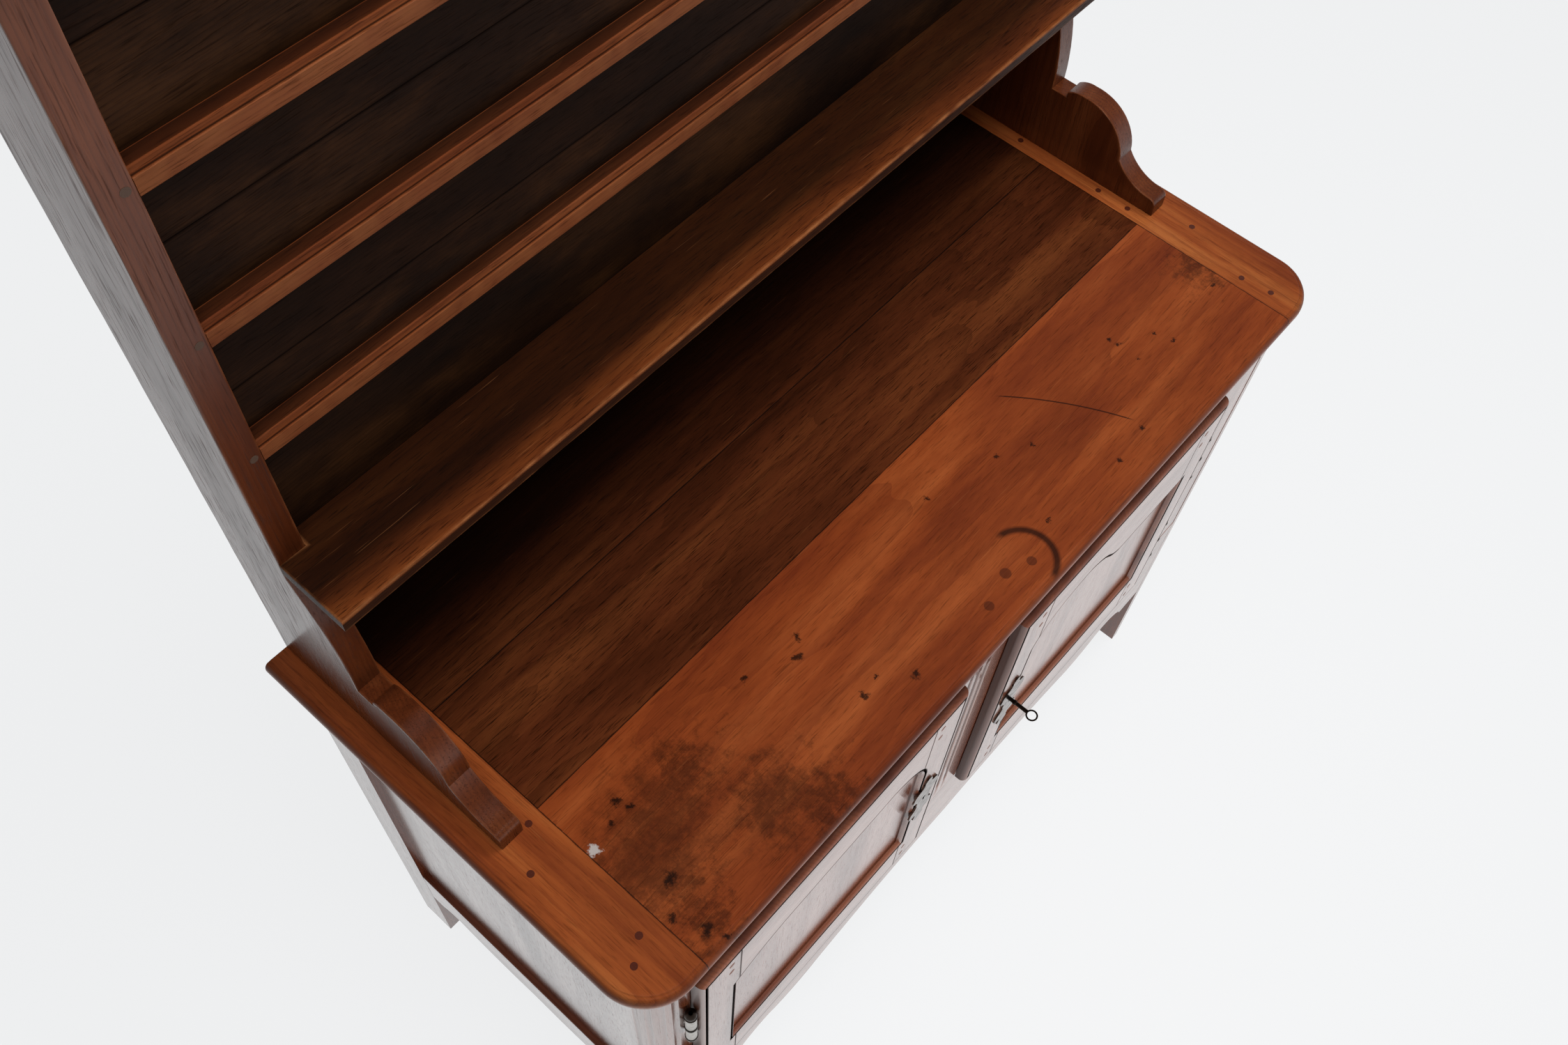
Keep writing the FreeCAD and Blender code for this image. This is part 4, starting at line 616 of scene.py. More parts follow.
def dress(node, axis, high, grain, material, body="case", arris=1.0, seed=0, spread=0.8, edge=1.0):
    """Replace one solid by a rubbed board of the outline that its flat face shows."""
    low_corner, high_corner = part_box(node)
    mesh = board(node + "_wood", outline_of(node, axis, high), axis, low_corner[axis], high_corner[axis],
                 arris, seed, spread, edge)
    give_grain(mesh, grain, seed)
    return piece(mesh, body, material, node)


print("solids to dress:", len(frame["nodes"]))

# %% [markdown]
# ## The worktop
# Three boards run the long way between two ends whose grain runs front to back. The front board and the
# ends carry a groove and a half-round nosing, cut round the corners in one sweep. Each moulded board is a
# stack of rings whose edge follows the nosing's section, and the sides at the joints stay straight.

# %% Nosing and front board
# (in from the edge, down from the top), then how dark it is painted there: darker in the groove, and painted
# shade over the upper round of the nosing
NOSING_MM = [(13.0, 0.0), (9.9, 0.0), (9.3, 0.1), (8.7, 0.45), (8.0, 0.5), (7.3, 0.4), (6.0, 0.4), (4.4, 1.0),
             (2.8, 2.5), (1.3, 5.0), (0.4, 8.0), (0.0, 11.5), (0.1, 15.0), (0.7, 18.5), (1.8, 21.8), (3.3, 24.6),
             (5.0, 26.6), (7.0, 28.0)]
NOSING_SHADE = [0.0, 0.0, -0.1, -0.25, -0.2, -0.1, -0.15, -0.3, -0.45, -0.5, -0.3] + [0.0] * 7


def moulded_board(name, outline, shares):
    """A board whose edges carry the nosing where shares is one, and stay straight where it is nothing."""
    rings = [raised(inset(outline, away * MM, shares), 2, WORK_TOP - down * MM) for away, down in NOSING_MM]
    return skin(name, rings, NOSING_SHADE)


front_outline = rectangle(joint_x, front_low.y, -joint_x, front_high.y)
front_mesh = moulded_board("worktop_front_wood", front_outline, [1, 0, 0, 0])
give_grain(front_mesh, 0, 11)
piece(front_mesh, "case", front_top, "worktop_front_board")
print("front board:", pieces_made)

# %% Ends and inner boards
CORNER_RADIUS = 65 * MM
CORNER_STEPS = 14
for side, node in ((1, "left_breadboard_end"), (-1, "right_breadboard_end")):
    edge = work_low.x
    centre = (edge + CORNER_RADIUS, work_low.y + CORNER_RADIUS)
    arc = [(centre[0] - CORNER_RADIUS * math.cos(t), centre[1] - CORNER_RADIUS * math.sin(t))
           for t in [math.pi / 2 * i / CORNER_STEPS for i in range(CORNER_STEPS + 1)]]
    outline = [(edge, work_high.y)] + arc + [(joint_x, work_low.y), (joint_x, work_high.y)]
    shares = [1] * (len(arc) + 1) + [0, 0]
    if side < 0:
        outline = [(-x, y) for x, y in outline][::-1]
        shares = shares[:-1][::-1] + shares[-1:]
    end_mesh = moulded_board(node + "_wood", outline, shares)
    give_grain(end_mesh, 1, 12 + side)
    piece(end_mesh, "case", end_top, node)
for seed, node in ((21, "worktop_middle_board"), (22, "worktop_back_board")):
    low_corner, high_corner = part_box(node)
    mesh = board(node + "_wood", rectangle(joint_x, low_corner.y, -joint_x, high_corner.y), 2, low_corner.z,
                 high_corner.z, 0.5, seed, edge=-0.6)
    give_grain(mesh, 0, seed)
    piece(mesh, "case", middle_top, node)
print("ends and inner boards:", pieces_made[1:])

# %% [markdown]
# ## The rack
# Each upright and its scroll bracket are sawn from one board, so the outline is taken from the solid as it
# is. The plate shelves have a cove and a quirk along the front, the same section from end to end.

# %% Uprights and serving shelf
for seed, node in ((31, "left_upright"), (32, "right_upright")):
    dress(node, 0, node.startswith("right"), 2, upright_oak, arris=1.2, seed=seed, spread=1.0)
dress("serving_shelf", 2, True, 0, shelf_oak, arris=1.8, seed=33, spread=1.2)
print("uprights and shelf:", pieces_made[-3:])

# %% Plate shelves, top and cornice
# (back from the front, down from the top), then the rubbing there, and painted shade on the shelf's top behind
# the moulding and in the quirk; the cove is painted darker too
SHELF_SECTION_MM = [(19.0, 0.0), (7.4, 0.0), (6.6, 0.2), (6.2, 0.9), (5.7, 2.0), (4.5, 2.9), (3.0, 3.3),
                    (2.4, 3.4), (2.2, 4.4), (0.8, 4.5), (0.0, 5.2), (0.0, 20.8), (0.9, 22.0)]
SHELF_WEAR_AND_SHADE = [-0.9, -0.75, 0.1, 0.0, -0.4, -0.4, -0.2, -0.7, -0.9, 0.2, 0.6, 0.3, 0.0]
SHELF_STEPS = 40
inner_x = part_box("right_upright")[0].x
for seed, node in ((34, "low_plate_shelf"), (35, "middle_plate_shelf"), (36, "high_plate_shelf")):
    low_corner, high_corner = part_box(node)
    section = [(low_corner.y + out * MM, high_corner.z - down * MM) for out, down in SHELF_SECTION_MM]
    section += [(high_corner.y, low_corner.z), (high_corner.y, high_corner.z)]
    rings = [raised(section, 0, -inner_x + 2 * inner_x * i / SHELF_STEPS) for i in range(SHELF_STEPS + 1)]
    mesh = skin(node + "_wood", rings, [SHELF_WEAR_AND_SHADE + [0.0, 0.0]] * len(rings))
    give_grain(mesh, 0, seed)
    piece(mesh, "case", ledge_oak, node)
for seed, node in ((37, "top_board"), (38, "cornice")):
    dress(node, 2, True, 0, frame_oak, arris=1.5, seed=seed)
print("plate shelves, top and cornice:", pieces_made[-5:])

# %% [markdown]
# ## Boards of the backs
# The rack's back is made of long boards of uneven width, let into the uprights. They are taken one by one from
# the solids, each with its own grain and grimed edges, so that dark lines show where they meet. The back of the
# base is a row of equal boards that have shrunk a little. A Geometry Nodes tree sets those out: a line of
# points, a block on each point, and a small random difference in thickness.

# %% Back of the rack
def islands(node):
    """Low and high corners of each separate solid in a node."""
    mesh = bmesh.new()
    mesh.from_mesh(frame["nodes"][node].data)
    bmesh.ops.remove_doubles(mesh, verts=mesh.verts, dist=1e-6)
    seen, found = set(), []
    for vert in mesh.verts:
        if vert in seen:
            continue
        stack, group = [vert], []
        seen.add(vert)
        while stack:
            here = stack.pop()
            group.append(here.co.copy())
            for edge in here.link_edges:
                other = edge.other_vert(here)
                if other not in seen:
                    seen.add(other)
                    stack.append(other)
        found.append((Vector([min(p[a] for p in group) for a in range(3)]),
                      Vector([max(p[a] for p in group) for a in range(3)])))
    mesh.free()
    return found


def joined(name, meshes):
    """Several meshes as one."""
    whole = bmesh.new()
    for mesh in meshes:
        whole.from_mesh(mesh)
    made = bpy.data.meshes.new(name)
    whole.to_mesh(made)
    whole.free()
    return made


rack_boards = []
for low, high in islands("rack_back_boards"):
    levels = sorted({round(v.co.z, 4) for v in frame["nodes"]["rack_back_boards"].data.vertices
                     if low.y - 0.1 * MM < v.co.y < high.y + 0.1 * MM})
    for foot, head in zip(levels, levels[1:]):
        seed = 43 + len(rack_boards)
        mesh = board(f"rack_board_{seed}", rectangle(low.x, foot, high.x, head), 1, low.y, high.y, 1.2, seed,
                     edge=-1.0)
        give_grain(mesh, 0, seed)
        rack_boards.append(mesh)
piece(joined("rack_back_boards_wood", rack_boards), "case", board_oak, "rack_back_boards")
print("back of the rack:", len(rack_boards), "boards")

# %% Board row tree
def geometry_tree(name, sockets):
    """A Geometry Nodes tree and what it is given: geometry, and one input for each label and type."""
    tree = bpy.data.node_groups.new(name, "GeometryNodeTree")
    for label, kind in [("Geometry", "Geometry")] + sockets:
        tree.interface.new_socket(label, in_out="INPUT", socket_type="NodeSocket" + kind)
    tree.interface.new_socket("Geometry", in_out="OUTPUT", socket_type="NodeSocketGeometry")
    return tree, add(tree, "NodeGroupInput").outputs


def set_out(tree, given, places):
    """End a tree: the instances at their places are made real and get their finish."""
    instances = add(tree, "GeometryNodeInstanceOnPoints", places)
    real = add(tree, "GeometryNodeRealizeInstances", {"Geometry": instances.outputs[0]})
    dressed = add(tree, "GeometryNodeSetMaterial", {"Geometry": real.outputs[0], "Material": given["Finish"]})
    add(tree, "NodeGroupOutput", {"Geometry": dressed.outputs[0]})


def board_row_tree():
    """Boards side by side, each a little smaller than its place."""
    tree, given = geometry_tree("boards side by side", [
        ("Count", "Int"), ("First", "Vector"), ("Step", "Vector"), ("Board", "Vector"), ("Seed", "Int"),
        ("Finish", "Material")])
    line = add(tree, "GeometryNodeMeshLine", {"Count": given["Count"], "Start Location": given["First"],
                                             "Offset": given["Step"]})
    block = add(tree, "GeometryNodeMeshCube", {"Size": given["Board"], "Vertices X": 2, "Vertices Y": 2,
                                              "Vertices Z": 2})
    uneven = add(tree, "FunctionNodeRandomValue", {0: (0.985, 0.93, 0.985), 1: (0.995, 1.0, 0.995),
                                                  "Seed": given["Seed"]}, data_type="FLOAT_VECTOR")
    set_out(tree, given, {"Points": line.outputs[0], "Instance": block.outputs[0],
                          "Scale": uneven.outputs[0]})
    return tree


def grown(name, tree, values, source=None):
    """Run a node tree on an object and return its result as a plain mesh."""
    holder = bpy.data.objects.new(name + "_holder", source or bpy.data.meshes.new(name + "_start"))
    bpy.context.scene.collection.objects.link(holder)
    modifier = holder.modifiers.new("grown", "NODES")
    modifier.node_group = tree
    for item in tree.interface.items_tree:
        if item.item_type == "SOCKET" and item.in_out == "INPUT" and item.name in values:
            modifier[item.identifier] = values[item.name]
    graph = bpy.context.evaluated_depsgraph_get()
    mesh = bpy.data.meshes.new_from_object(holder.evaluated_get(graph))
    mesh.name = name
    bpy.data.objects.remove(holder)
    return mesh


def row_of_boards(node, axis, count, grain, seed):
    """Replace a node by a row of equal boards along an axis."""
    low_corner, high_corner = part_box(node)
    size = high_corner - low_corner
    pitch = size[axis] / count
    block = size.copy()
    block[axis] = pitch
    step = Vector((0, 0, 0))
    step[axis] = pitch
    mesh = grown(node + "_wood", row_tree, {"Count": count, "First": low_corner + block / 2, "Step": step,
                                           "Board": block, "Seed": seed, "Finish": board_oak})
    give_grain(mesh, grain, seed, (axis, low_corner[axis], pitch))
    return piece(mesh, "case", board_oak, node)


row_tree = board_row_tree()
row_of_boards("base_back_boards", 0, 6, 2, 42)
print("row:", pieces_made[-1:])

# %% [markdown]
# ## The base
# Front posts are rounded on their outer corner and fluted; the centre post has three stopped flutes. A
# flute is a shallow hollow, so each post is a stack of rings up its height and the rings dip at the flutes.
# Two mortises for the lock bolts are then cut into the centre post's sides, as a chisel would cut them.

# %% Flutes
# half width and depth of a flute
FLUTE_MM = (3.6, 1.9)


def dip(away):
    """How deep a full flute is at a distance from its middle."""
    half, deep = FLUTE_MM
    share = min(1.0, abs(away) / (half * MM))
    return deep * MM * math.sqrt(1 - share * share)


def post_rings(outline_at, low, high, start, stop, flute_shade):
    """Rings up a post and the painted shade in its flutes; outline_at takes how deep the flutes are, from nothing
    to one.
    """
    ease = 7 * MM
    levels = [(low, 0), (low + 1.5 * MM, 0), (start, 0), (start + ease * 0.3, 0.6), (start + ease, 1),
              (stop - ease, 1), (stop - ease * 0.3, 0.6), (stop, 0), (high - 1.5 * MM, 0), (high, 0)]
    straight = outline_at(0)
    rings, wear_and_shade = [], []
    for level, depth in levels:
        dipped = outline_at(depth)
        rings.append(raised(dipped, 2, level))
        # painted shade: the deeper a point lies in a flute, the darker it is painted
        wear_and_shade.append([-math.dist(a, b) / (FLUTE_MM[1] * MM) * flute_shade for a, b in zip(straight, dipped)])
    return rings, wear_and_shade


print("flutes:", 2 * FLUTE_MM[0], "mm wide and", FLUTE_MM[1], "mm deep")

# %% Corner posts
CORNER_PARTS = 96
# where the flutes stand, as shares of the rounded corner
CORNER_FLUTES = [0.12, 0.32, 0.52, 0.72]
POST_ROUND = 50 * MM
post_low, post_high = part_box("front_left_post")
door_low, door_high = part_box("left_door_hinge_stile")


def corner_outline(side):
    """A front post's outline, rounded and fluted on its outer corner."""
    def outline_at(depth):
        points = [(post_low.x, post_high.y)]
        for i in range(CORNER_PARTS + 1):
            turn = math.pi / 2 * i / CORNER_PARTS
            away = min([(turn - share * math.pi / 2) * POST_ROUND for share in CORNER_FLUTES], key=abs)
            radius = POST_ROUND - depth * dip(away)
            points.append((post_low.x + POST_ROUND - radius * math.cos(turn),
                           post_low.y + POST_ROUND - radius * math.sin(turn)))
        points += [(post_high.x, post_low.y), (post_high.x, post_high.y)]
        return points if side < 0 else [(-x, y) for x, y in points][::-1]
    return outline_at


for seed, side, node in ((51, -1, "front_left_post"), (52, 1, "front_right_post")):
    # the corner flutes take a faint painted shade
    rings, wear_and_shade = post_rings(corner_outline(side), post_low.z, post_high.z, door_low.z + 10 * MM,
                             post_high.z - 10 * MM, 0.15)
    mesh = skin(node + "_wood", rings, wear_and_shade)
    give_grain(mesh, 2, seed)
    piece(mesh, "case", frame_oak, node)
print("corner posts:", pieces_made[-2:])

# %% Centre post
CENTRE_PARTS = 120
mid_low, mid_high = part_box("centre_post")
rail_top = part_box("front_top_rail")[0].z
apron_top = max(v[1] for v in outline_of("front_bottom_rail", 1, False))
FLUTE_SPACING = 17 * MM


def mortised(mesh, boxes):
    """The mesh with box-shaped mortises cut into it."""
    blocks = bmesh.new()
    for low, high in boxes:
        bmesh.ops.create_cube(blocks, size=1.0, matrix=Matrix.LocRotScale((low + high) / 2, None, high - low))
    cutter = bpy.data.objects.new("mortises", bpy.data.meshes.new("mortises"))
    blocks.to_mesh(cutter.data)
    blocks.free()
    holder = bpy.data.objects.new("uncut", mesh)
    for obj in (cutter, holder):
        bpy.context.scene.collection.objects.link(obj)
    modifier = holder.modifiers.new("mortises", "BOOLEAN")
    modifier.object, modifier.operation, modifier.solver = cutter, "DIFFERENCE", "EXACT"
    made = bpy.data.meshes.new_from_object(holder.evaluated_get(bpy.context.evaluated_depsgraph_get()))
    made.name = mesh.name + "_cut"
    for obj in (cutter, holder):
        bpy.data.objects.remove(obj)
    whole = bmesh.new()
    whole.from_mesh(made)
    for edge in whole.edges:
        edge.smooth = edge.calc_face_angle(0) < SMOOTH_ANGLE
    whole.to_mesh(made)
    whole.free()
    return made


def centre_outline(depth):
    """The centre post's outline, with three flutes in its front."""
    middle = (mid_low.x + mid_high.x) / 2
    points = [(mid_low.x, mid_high.y)]
    for i in range(CENTRE_PARTS + 1):
        x = mid_low.x + (mid_high.x - mid_low.x) * i / CENTRE_PARTS
        away = min([x - middle - k * FLUTE_SPACING for k in (-1, 0, 1)], key=abs)
        points.append((x, mid_low.y + depth * dip(away)))
    return points + [(mid_high.x, mid_high.y)]


# the centre post's flutes take a strong painted shade
rings, wear_and_shade = post_rings(centre_outline, apron_top, rail_top, door_low.z + 60 * MM, door_high.z - 60 * MM, 0.9)
MORTISES = [[Vector(corner) for corner in row["box_m"]] for row in frame["record"]["physics"]["openings"]
            if row["name"].endswith("bolt_mortise")]
mesh = mortised(skin("centre_post_wood", rings, wear_and_shade), MORTISES)
give_grain(mesh, 2, 53)
piece(mesh, "case", frame_oak, "centre_post")
print("centre post:", pieces_made[-1:], "with", len(MORTISES), "mortises")

# %% Frame and panels of the base
for seed, (node, axis, high, grain) in enumerate([
        ("front_top_rail", 1, False, 0), ("front_bottom_rail", 1, False, 0), ("right_hinge_stile", 1, False, 2),
        ("back_left_post", 2, False, 2), ("back_right_post", 2, False, 2),
        ("left_side_top_rail", 0, False, 1), ("right_side_top_rail", 0, True, 1),
        ("left_side_bottom_rail", 0, False, 1), ("right_side_bottom_rail", 0, True, 1),
        ("left_side_panel", 0, False, 2), ("right_side_panel", 0, True, 2),
        ("back_top_rail", 1, True, 0), ("back_bottom_rail", 1, True, 0)], 60):
    dress(node, axis, high, grain, frame_oak, arris=1.1, seed=seed)
for seed, node in ((81, "cupboard_floor"), (82, "inner_shelf")):
    dress(node, 2, True, 0, board_oak, arris=1.0, seed=seed)
# the narrow panel stands flush in its frame, with a tongue behind that sits in the grooves
stile_edge, post_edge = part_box("right_hinge_stile")[1].x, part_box("front_right_post")[0].x
panel_low, panel_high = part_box("narrow_panel")
field = board("narrow_field", rectangle(stile_edge, apron_top, post_edge, rail_top), 1, post_low.y + 0.5 * MM,
              panel_low.y, 0.8, 83)
tongue = board("narrow_tongue", outline_of("narrow_panel", 1, False), 1, panel_low.y, panel_high.y, 0.8, 84)
mesh = joined("narrow_panel_wood", [field, tongue])
give_grain(mesh, 2, 83)
piece(mesh, "case", frame_oak, "narrow_panel")
print("base:", len(pieces_made), "pieces so far")

# %% [markdown]
# ## The doors
# A door is two stiles, two rails and a sunk panel. A thumb-nail moulding with a quirk runs round the lip,
# and an ovolo with a quirk runs round the opening. Both follow a path with mitred corners, so they are
# skins through offset copies of that path, and the flat boards stop where the quirks begin.

# %% Door sections
# (in from the edge, back from the face), then the painted shade there: near black in the quirks, darker brown
# over the rounds
LIP_MM = [(9.0, 0.2), (9.0, 4.0), (6.4, 4.0), (6.1, 0.5), (5.6, 0.3), (4.6, 0.8), (3.0, 2.0), (1.6, 3.8),
          (0.6, 6.0), (0.0, 8.6), (0.0, 16.6), (0.8, 17.4), (9.0, 17.4)]
LIP_SHADE = [-1.0, -1.0, -1.0, -1.0, -0.3, -0.2, -0.35, -0.5, -0.65, -0.75, -0.8, 0.0, 0.0]
OVOLO_MM = [(10.0, 0.2), (10.0, 4.2), (6.6, 4.2), (6.3, 0.6), (5.8, 0.4), (5.0, 0.8), (3.8, 1.8), (2.6, 3.4),
            (1.4, 5.6), (0.9, 6.2), (0.0, 6.2), (0.0, 9.9), (10.0, 9.9)]
OVOLO_SHADE = [-1.0, -1.0, -1.0, -1.0, -0.2, -0.1, -0.1, -0.2, -0.3, -0.4, -0.5, -0.9, -0.9]
LIP_WIDTH, LIP_DEPTH, OVOLO_WIDTH, REBATE = 9 * MM, 17.4 * MM, 10 * MM, 16 * MM


def frame_board(name, outline, outer, face, back):
    """A flat board of the door's frame; its outer edges step in behind the lip."""
    shares = [1.0 if flag else 0.0 for flag in outer]
    step = REBATE - LIP_WIDTH
    hair = 0.4 * MM
    rings = [raised(inset(outline, 4 * hair), 1, face), raised(inset(outline, 2 * hair), 1, face),
             raised(outline, 1, face + hair), raised(outline, 1, face + LIP_DEPTH),
             raised(inset(outline, step, shares), 1, face + LIP_DEPTH),
             raised(inset(outline, step, shares), 1, back)]
    # the face darkens over its last millimetre and down its edges: painted shade where the boards meet the quirks
    # and the lip
    return skin(name, rings, [0.0, -0.9, -1.0, -0.5, 0.0, 0.0])


def run_of(points, low, high):
    """The part of a path between two x values, with its ends cut there."""
    cut = []
    for a, b in zip(points, points[1:]):
        for x in (low, high):
            if (a[0] - x) * (b[0] - x) < 0:
                t = (x - a[0]) / (b[0] - a[0])
                cut.append((x, a[1] + (b[1] - a[1]) * t))
        if low < b[0] < high:
            cut.append(b)
    return cut


print("lip", LIP_WIDTH, "m wide, ovolo", OVOLO_WIDTH, "m wide")


# %% Doors
def build_door(side, seed):
    """The boards, panel and mouldings of one door, set out from its solids."""
    body = f"{side}_door"
    boxes = [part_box(f"{side}_door_{word}_stile") for word in ("hinge", "lock")]
    boxes.sort(key=lambda pair: pair[0].x)
    (outer_low, left_inner), (right_inner, outer_high) = boxes
    face, back = outer_low.y, outer_high.y
    left_x, right_x = left_inner.x, right_inner.x
    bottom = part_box(f"{side}_door_bottom_rail")[1].z
    rail = outline_of(f"{side}_door_top_rail", 1, False)
    top = max(v for _, v in rail)
    first = min(range(len(rail)), key=lambda i: (rail[i][0] - left_x) ** 2 + (rail[i][1] - top) ** 2)
    arch = (rail[first:] + rail[:first])[1:-1]
    opening = [(left_x, bottom), (right_x, bottom)] + arch[::-1]
    quirk = inset(opening, -OVOLO_WIDTH)
    upper = quirk[2:][::-1]
    low_u, high_u = outer_low.x + LIP_WIDTH, outer_high.x - LIP_WIDTH
    low_v, high_v = outer_low.z + LIP_WIDTH, outer_high.z - LIP_WIDTH
    foot = bottom - OVOLO_WIDTH
    crown = run_of([quirk[0]] + upper + [quirk[1]], left_x, right_x)
    left_chain = [p for p in upper if p[0] < left_x]
    right_chain = [p for p in upper if p[0] > right_x]
    stile_left = ([(low_u, low_v), (left_x, low_v), (left_x, foot), quirk[0]] + left_chain
                  + [crown[0], (left_x, high_v), (low_u, high_v)])
    stile_right = ([(right_x, low_v), (high_u, low_v), (high_u, high_v), (right_x, high_v), crown[-1]]
                   + right_chain + [quirk[1], (right_x, foot)])
    words = ("hinge", "lock") if side == "left" else ("lock", "hinge")
    last = len(stile_left) - 1
    parts = {
        f"{words[0]}_stile": (stile_left, [i in (0, last - 1, last) for i in range(last + 1)], 2),
        f"{words[1]}_stile": (stile_right, [i in (0, 1, 2) for i in range(len(stile_right))], 2),
        "bottom_rail": (rectangle(left_x, low_v, right_x, foot), [True, False, False, False], 0),
        "top_rail": ([(left_x, high_v)] + crown + [(right_x, high_v)],
                     [False] * (len(crown) + 1) + [True], 0),
    }
    for number, (word, (outline, outer, grain)) in enumerate(parts.items()):
        node = f"{side}_door_{word}"
        mesh = frame_board(node + "_wood", outline, outer, face, back)
        give_grain(mesh, grain, seed + number)
        piece(mesh, body, frame_oak, node)
    lip = rectangle(outer_low.x, outer_low.z, outer_high.x, outer_high.z)
    for number, (word, path, way, section, wear_and_shade, grain) in enumerate((
            ("lip", lip, 1, LIP_MM, LIP_SHADE, 2), ("panel", opening, -1, OVOLO_MM, OVOLO_SHADE, 0)), 5):
        rings = [raised(inset(path, way * away * MM), 1, face + deep * MM) for away, deep in section]
        mesh = skin(f"{side}_door_{word}_moulding", rings, wear_and_shade, loop=True)
        give_grain(mesh, grain, seed + number)
        piece(mesh, body, frame_oak, slot="waxed_oak")
    dress(f"{side}_door_panel", 1, False, 2, frame_oak, body, arris=0.5, seed=seed + 7)


build_door("left", 90)
build_door("right", 110)
print("doors:", pieces_made[-14:])

# %% [markdown]
# ## Pegs
# Oak pegs pin every joint. Their heads were trimmed by hand, so no two are quite round or quite flush. A
# Geometry Nodes tree puts one head on each place that the solids give, turned and sized at random.

# %% Peg tree
def peg_tree():
    """A peg head on each point, turned at random and never quite round."""
    tree, given = geometry_tree("peg heads", [("Radius", "Float"), ("Length", "Float"), ("Lean", "Vector"),
                                              ("Seed", "Int"), ("Finish", "Material")])
    head = add(tree, "GeometryNodeMeshCylinder", {"Vertices": 11, "Side Segments": 2, "Fill Segments": 2,
                                                 "Radius": given["Radius"], "Depth": given["Length"]})
    size = add(tree, "FunctionNodeRandomValue", {0: (0.9, 0.9, 1.0), 1: (1.0, 1.0, 1.0), "Seed": given["Seed"]},
               data_type="FLOAT_VECTOR")
    spin = add(tree, "FunctionNodeRandomValue", {0: (0.0, 0.0, 0.0), 1: (0.0, 0.0, 6.283), "Seed": given["Seed"]},
               data_type="FLOAT_VECTOR")
    lean = add(tree, "FunctionNodeRotateEuler", {"Rotation": given["Lean"], "Rotate By": spin.outputs[0]},
               space="LOCAL")
    set_out(tree, given, {"Points": given["Geometry"], "Instance": head.outputs[0],
                          "Rotation": lean.outputs[0], "Scale": size.outputs[0]})
    return tree


def pegs(node, body, axis, seed, finish, stand):
    """Peg heads in the places of a node's solids, along Y or Z, standing a little proud or sunk."""
    spots = islands(node)
    middles = [(low + high) / 2 for low, high in spots]
    length = max(high[axis] - low[axis] for low, high in spots)
    radius = max(high[0] - low[0] for low, high in spots) / 2
    start = bpy.data.meshes.new(node + "_places")
    start.from_pydata([tuple(m) for m in middles], [], [])
    lean = (math.pi / 2, 0.0, 0.0) if axis == 1 else (0.0, 0.0, 0.0)
    mesh = grown(node + "_heads", head_tree, {"Radius": radius, "Length": length + stand, "Lean": lean,
                                             "Seed": seed, "Finish": finish}, start)
    return piece(mesh, body, finish, node)


head_tree = peg_tree()
pegs("worktop_pegs", "case", 2, 131, peg_wood, 0.3 * MM)
pegs("shelf_pegs", "case", 1, 132, pale_peg, 0.3 * MM)
pegs("left_door_pegs", "left_door", 1, 133, frame_peg, 0.2 * MM)
pegs("right_door_pegs", "right_door", 1, 134, frame_peg, 0.2 * MM)
print("pegs:", pieces_made[-4:])

# %% [markdown]
# ## Hinges, locks and key
# The hinges lift apart: a pin stands in the lower knuckle and the upper knuckle turns on it, each with a
# small turned finial. The key has a sleeve and a collar near the plate. A turned shape is one section spun
# round its axis. The lock plates, cases, bolts and the key's bow stay as solids and get a finish; the leaves stay
# as solids.

# %% Turned shapes
TURN_STEPS = 28


def turned(name, section, centre, axis=2):
    """A turned piece: section gives each ring's radius and its level along the axis."""
    angles = [2 * math.pi * i / TURN_STEPS for i in range(TURN_STEPS)]
    rings = [raised([(centre[0] + radius * math.cos(t), centre[1] + radius * math.sin(t)) for t in angles],
                    axis, level) for radius, level in section]
    return skin(name, rings, [0.0] * len(rings))


BARREL = 7 * MM
# radius and height of each ring
COLLAR_MM = [(7.2, 0.0), (7.9, 0.5), (8.1, 1.3), (7.9, 2.1), (7.2, 2.6)]
ACORN_MM = [(7.2, -0.6), (7.9, 0.4), (7.9, 1.6), (7.0, 2.6), (6.5, 3.6), (7.1, 5.2), (7.3, 7.2), (6.6, 9.6),
            (5.2, 11.8), (3.6, 13.4), (2.6, 14.0)]
FINIAL = 14 * MM


def along(section, base, way):
    """A turned section in millimetres, set up or down from a base level and listed from the bottom."""
    rows = [(radius * MM, base + way * level * MM) for radius, level in section]
    return rows if way > 0 else rows[::-1]


for side, sign in (("left", -1), ("right", 1)):
    knuckles, pins = islands(f"{side}_hinge_knuckles"), islands(f"{side}_hinge_pins")
    axis_y = knuckles[0][0].y + BARREL
    outer = [low.x for low, _ in knuckles] if sign < 0 else [high.x for _, high in knuckles]
    axis_x = outer[0] - sign * BARREL
    middle = (axis_x, axis_y)
    moving, fixed = [], []
    for low, high in knuckles:
        moving += [turned("collar", along(COLLAR_MM, low.z, 1), middle),
                   turned("acorn", along(ACORN_MM, high.z - FINIAL, 1), middle)]
        fixed.append(turned("collar", along(COLLAR_MM, low.z, -1), middle))
    for low, high in pins:
        fixed.append(turned("acorn", along(ACORN_MM, low.z + FINIAL, -1), middle))
    piece(joined(f"{side}_hinge_upper_turnings", moving), f"{side}_door", black_iron, slot="bright_steel")
    piece(joined(f"{side}_hinge_lower_turnings", fixed), "case", black_iron, slot="bright_steel")
    print(side, "hinge axis", [round(v, 4) for v in middle])

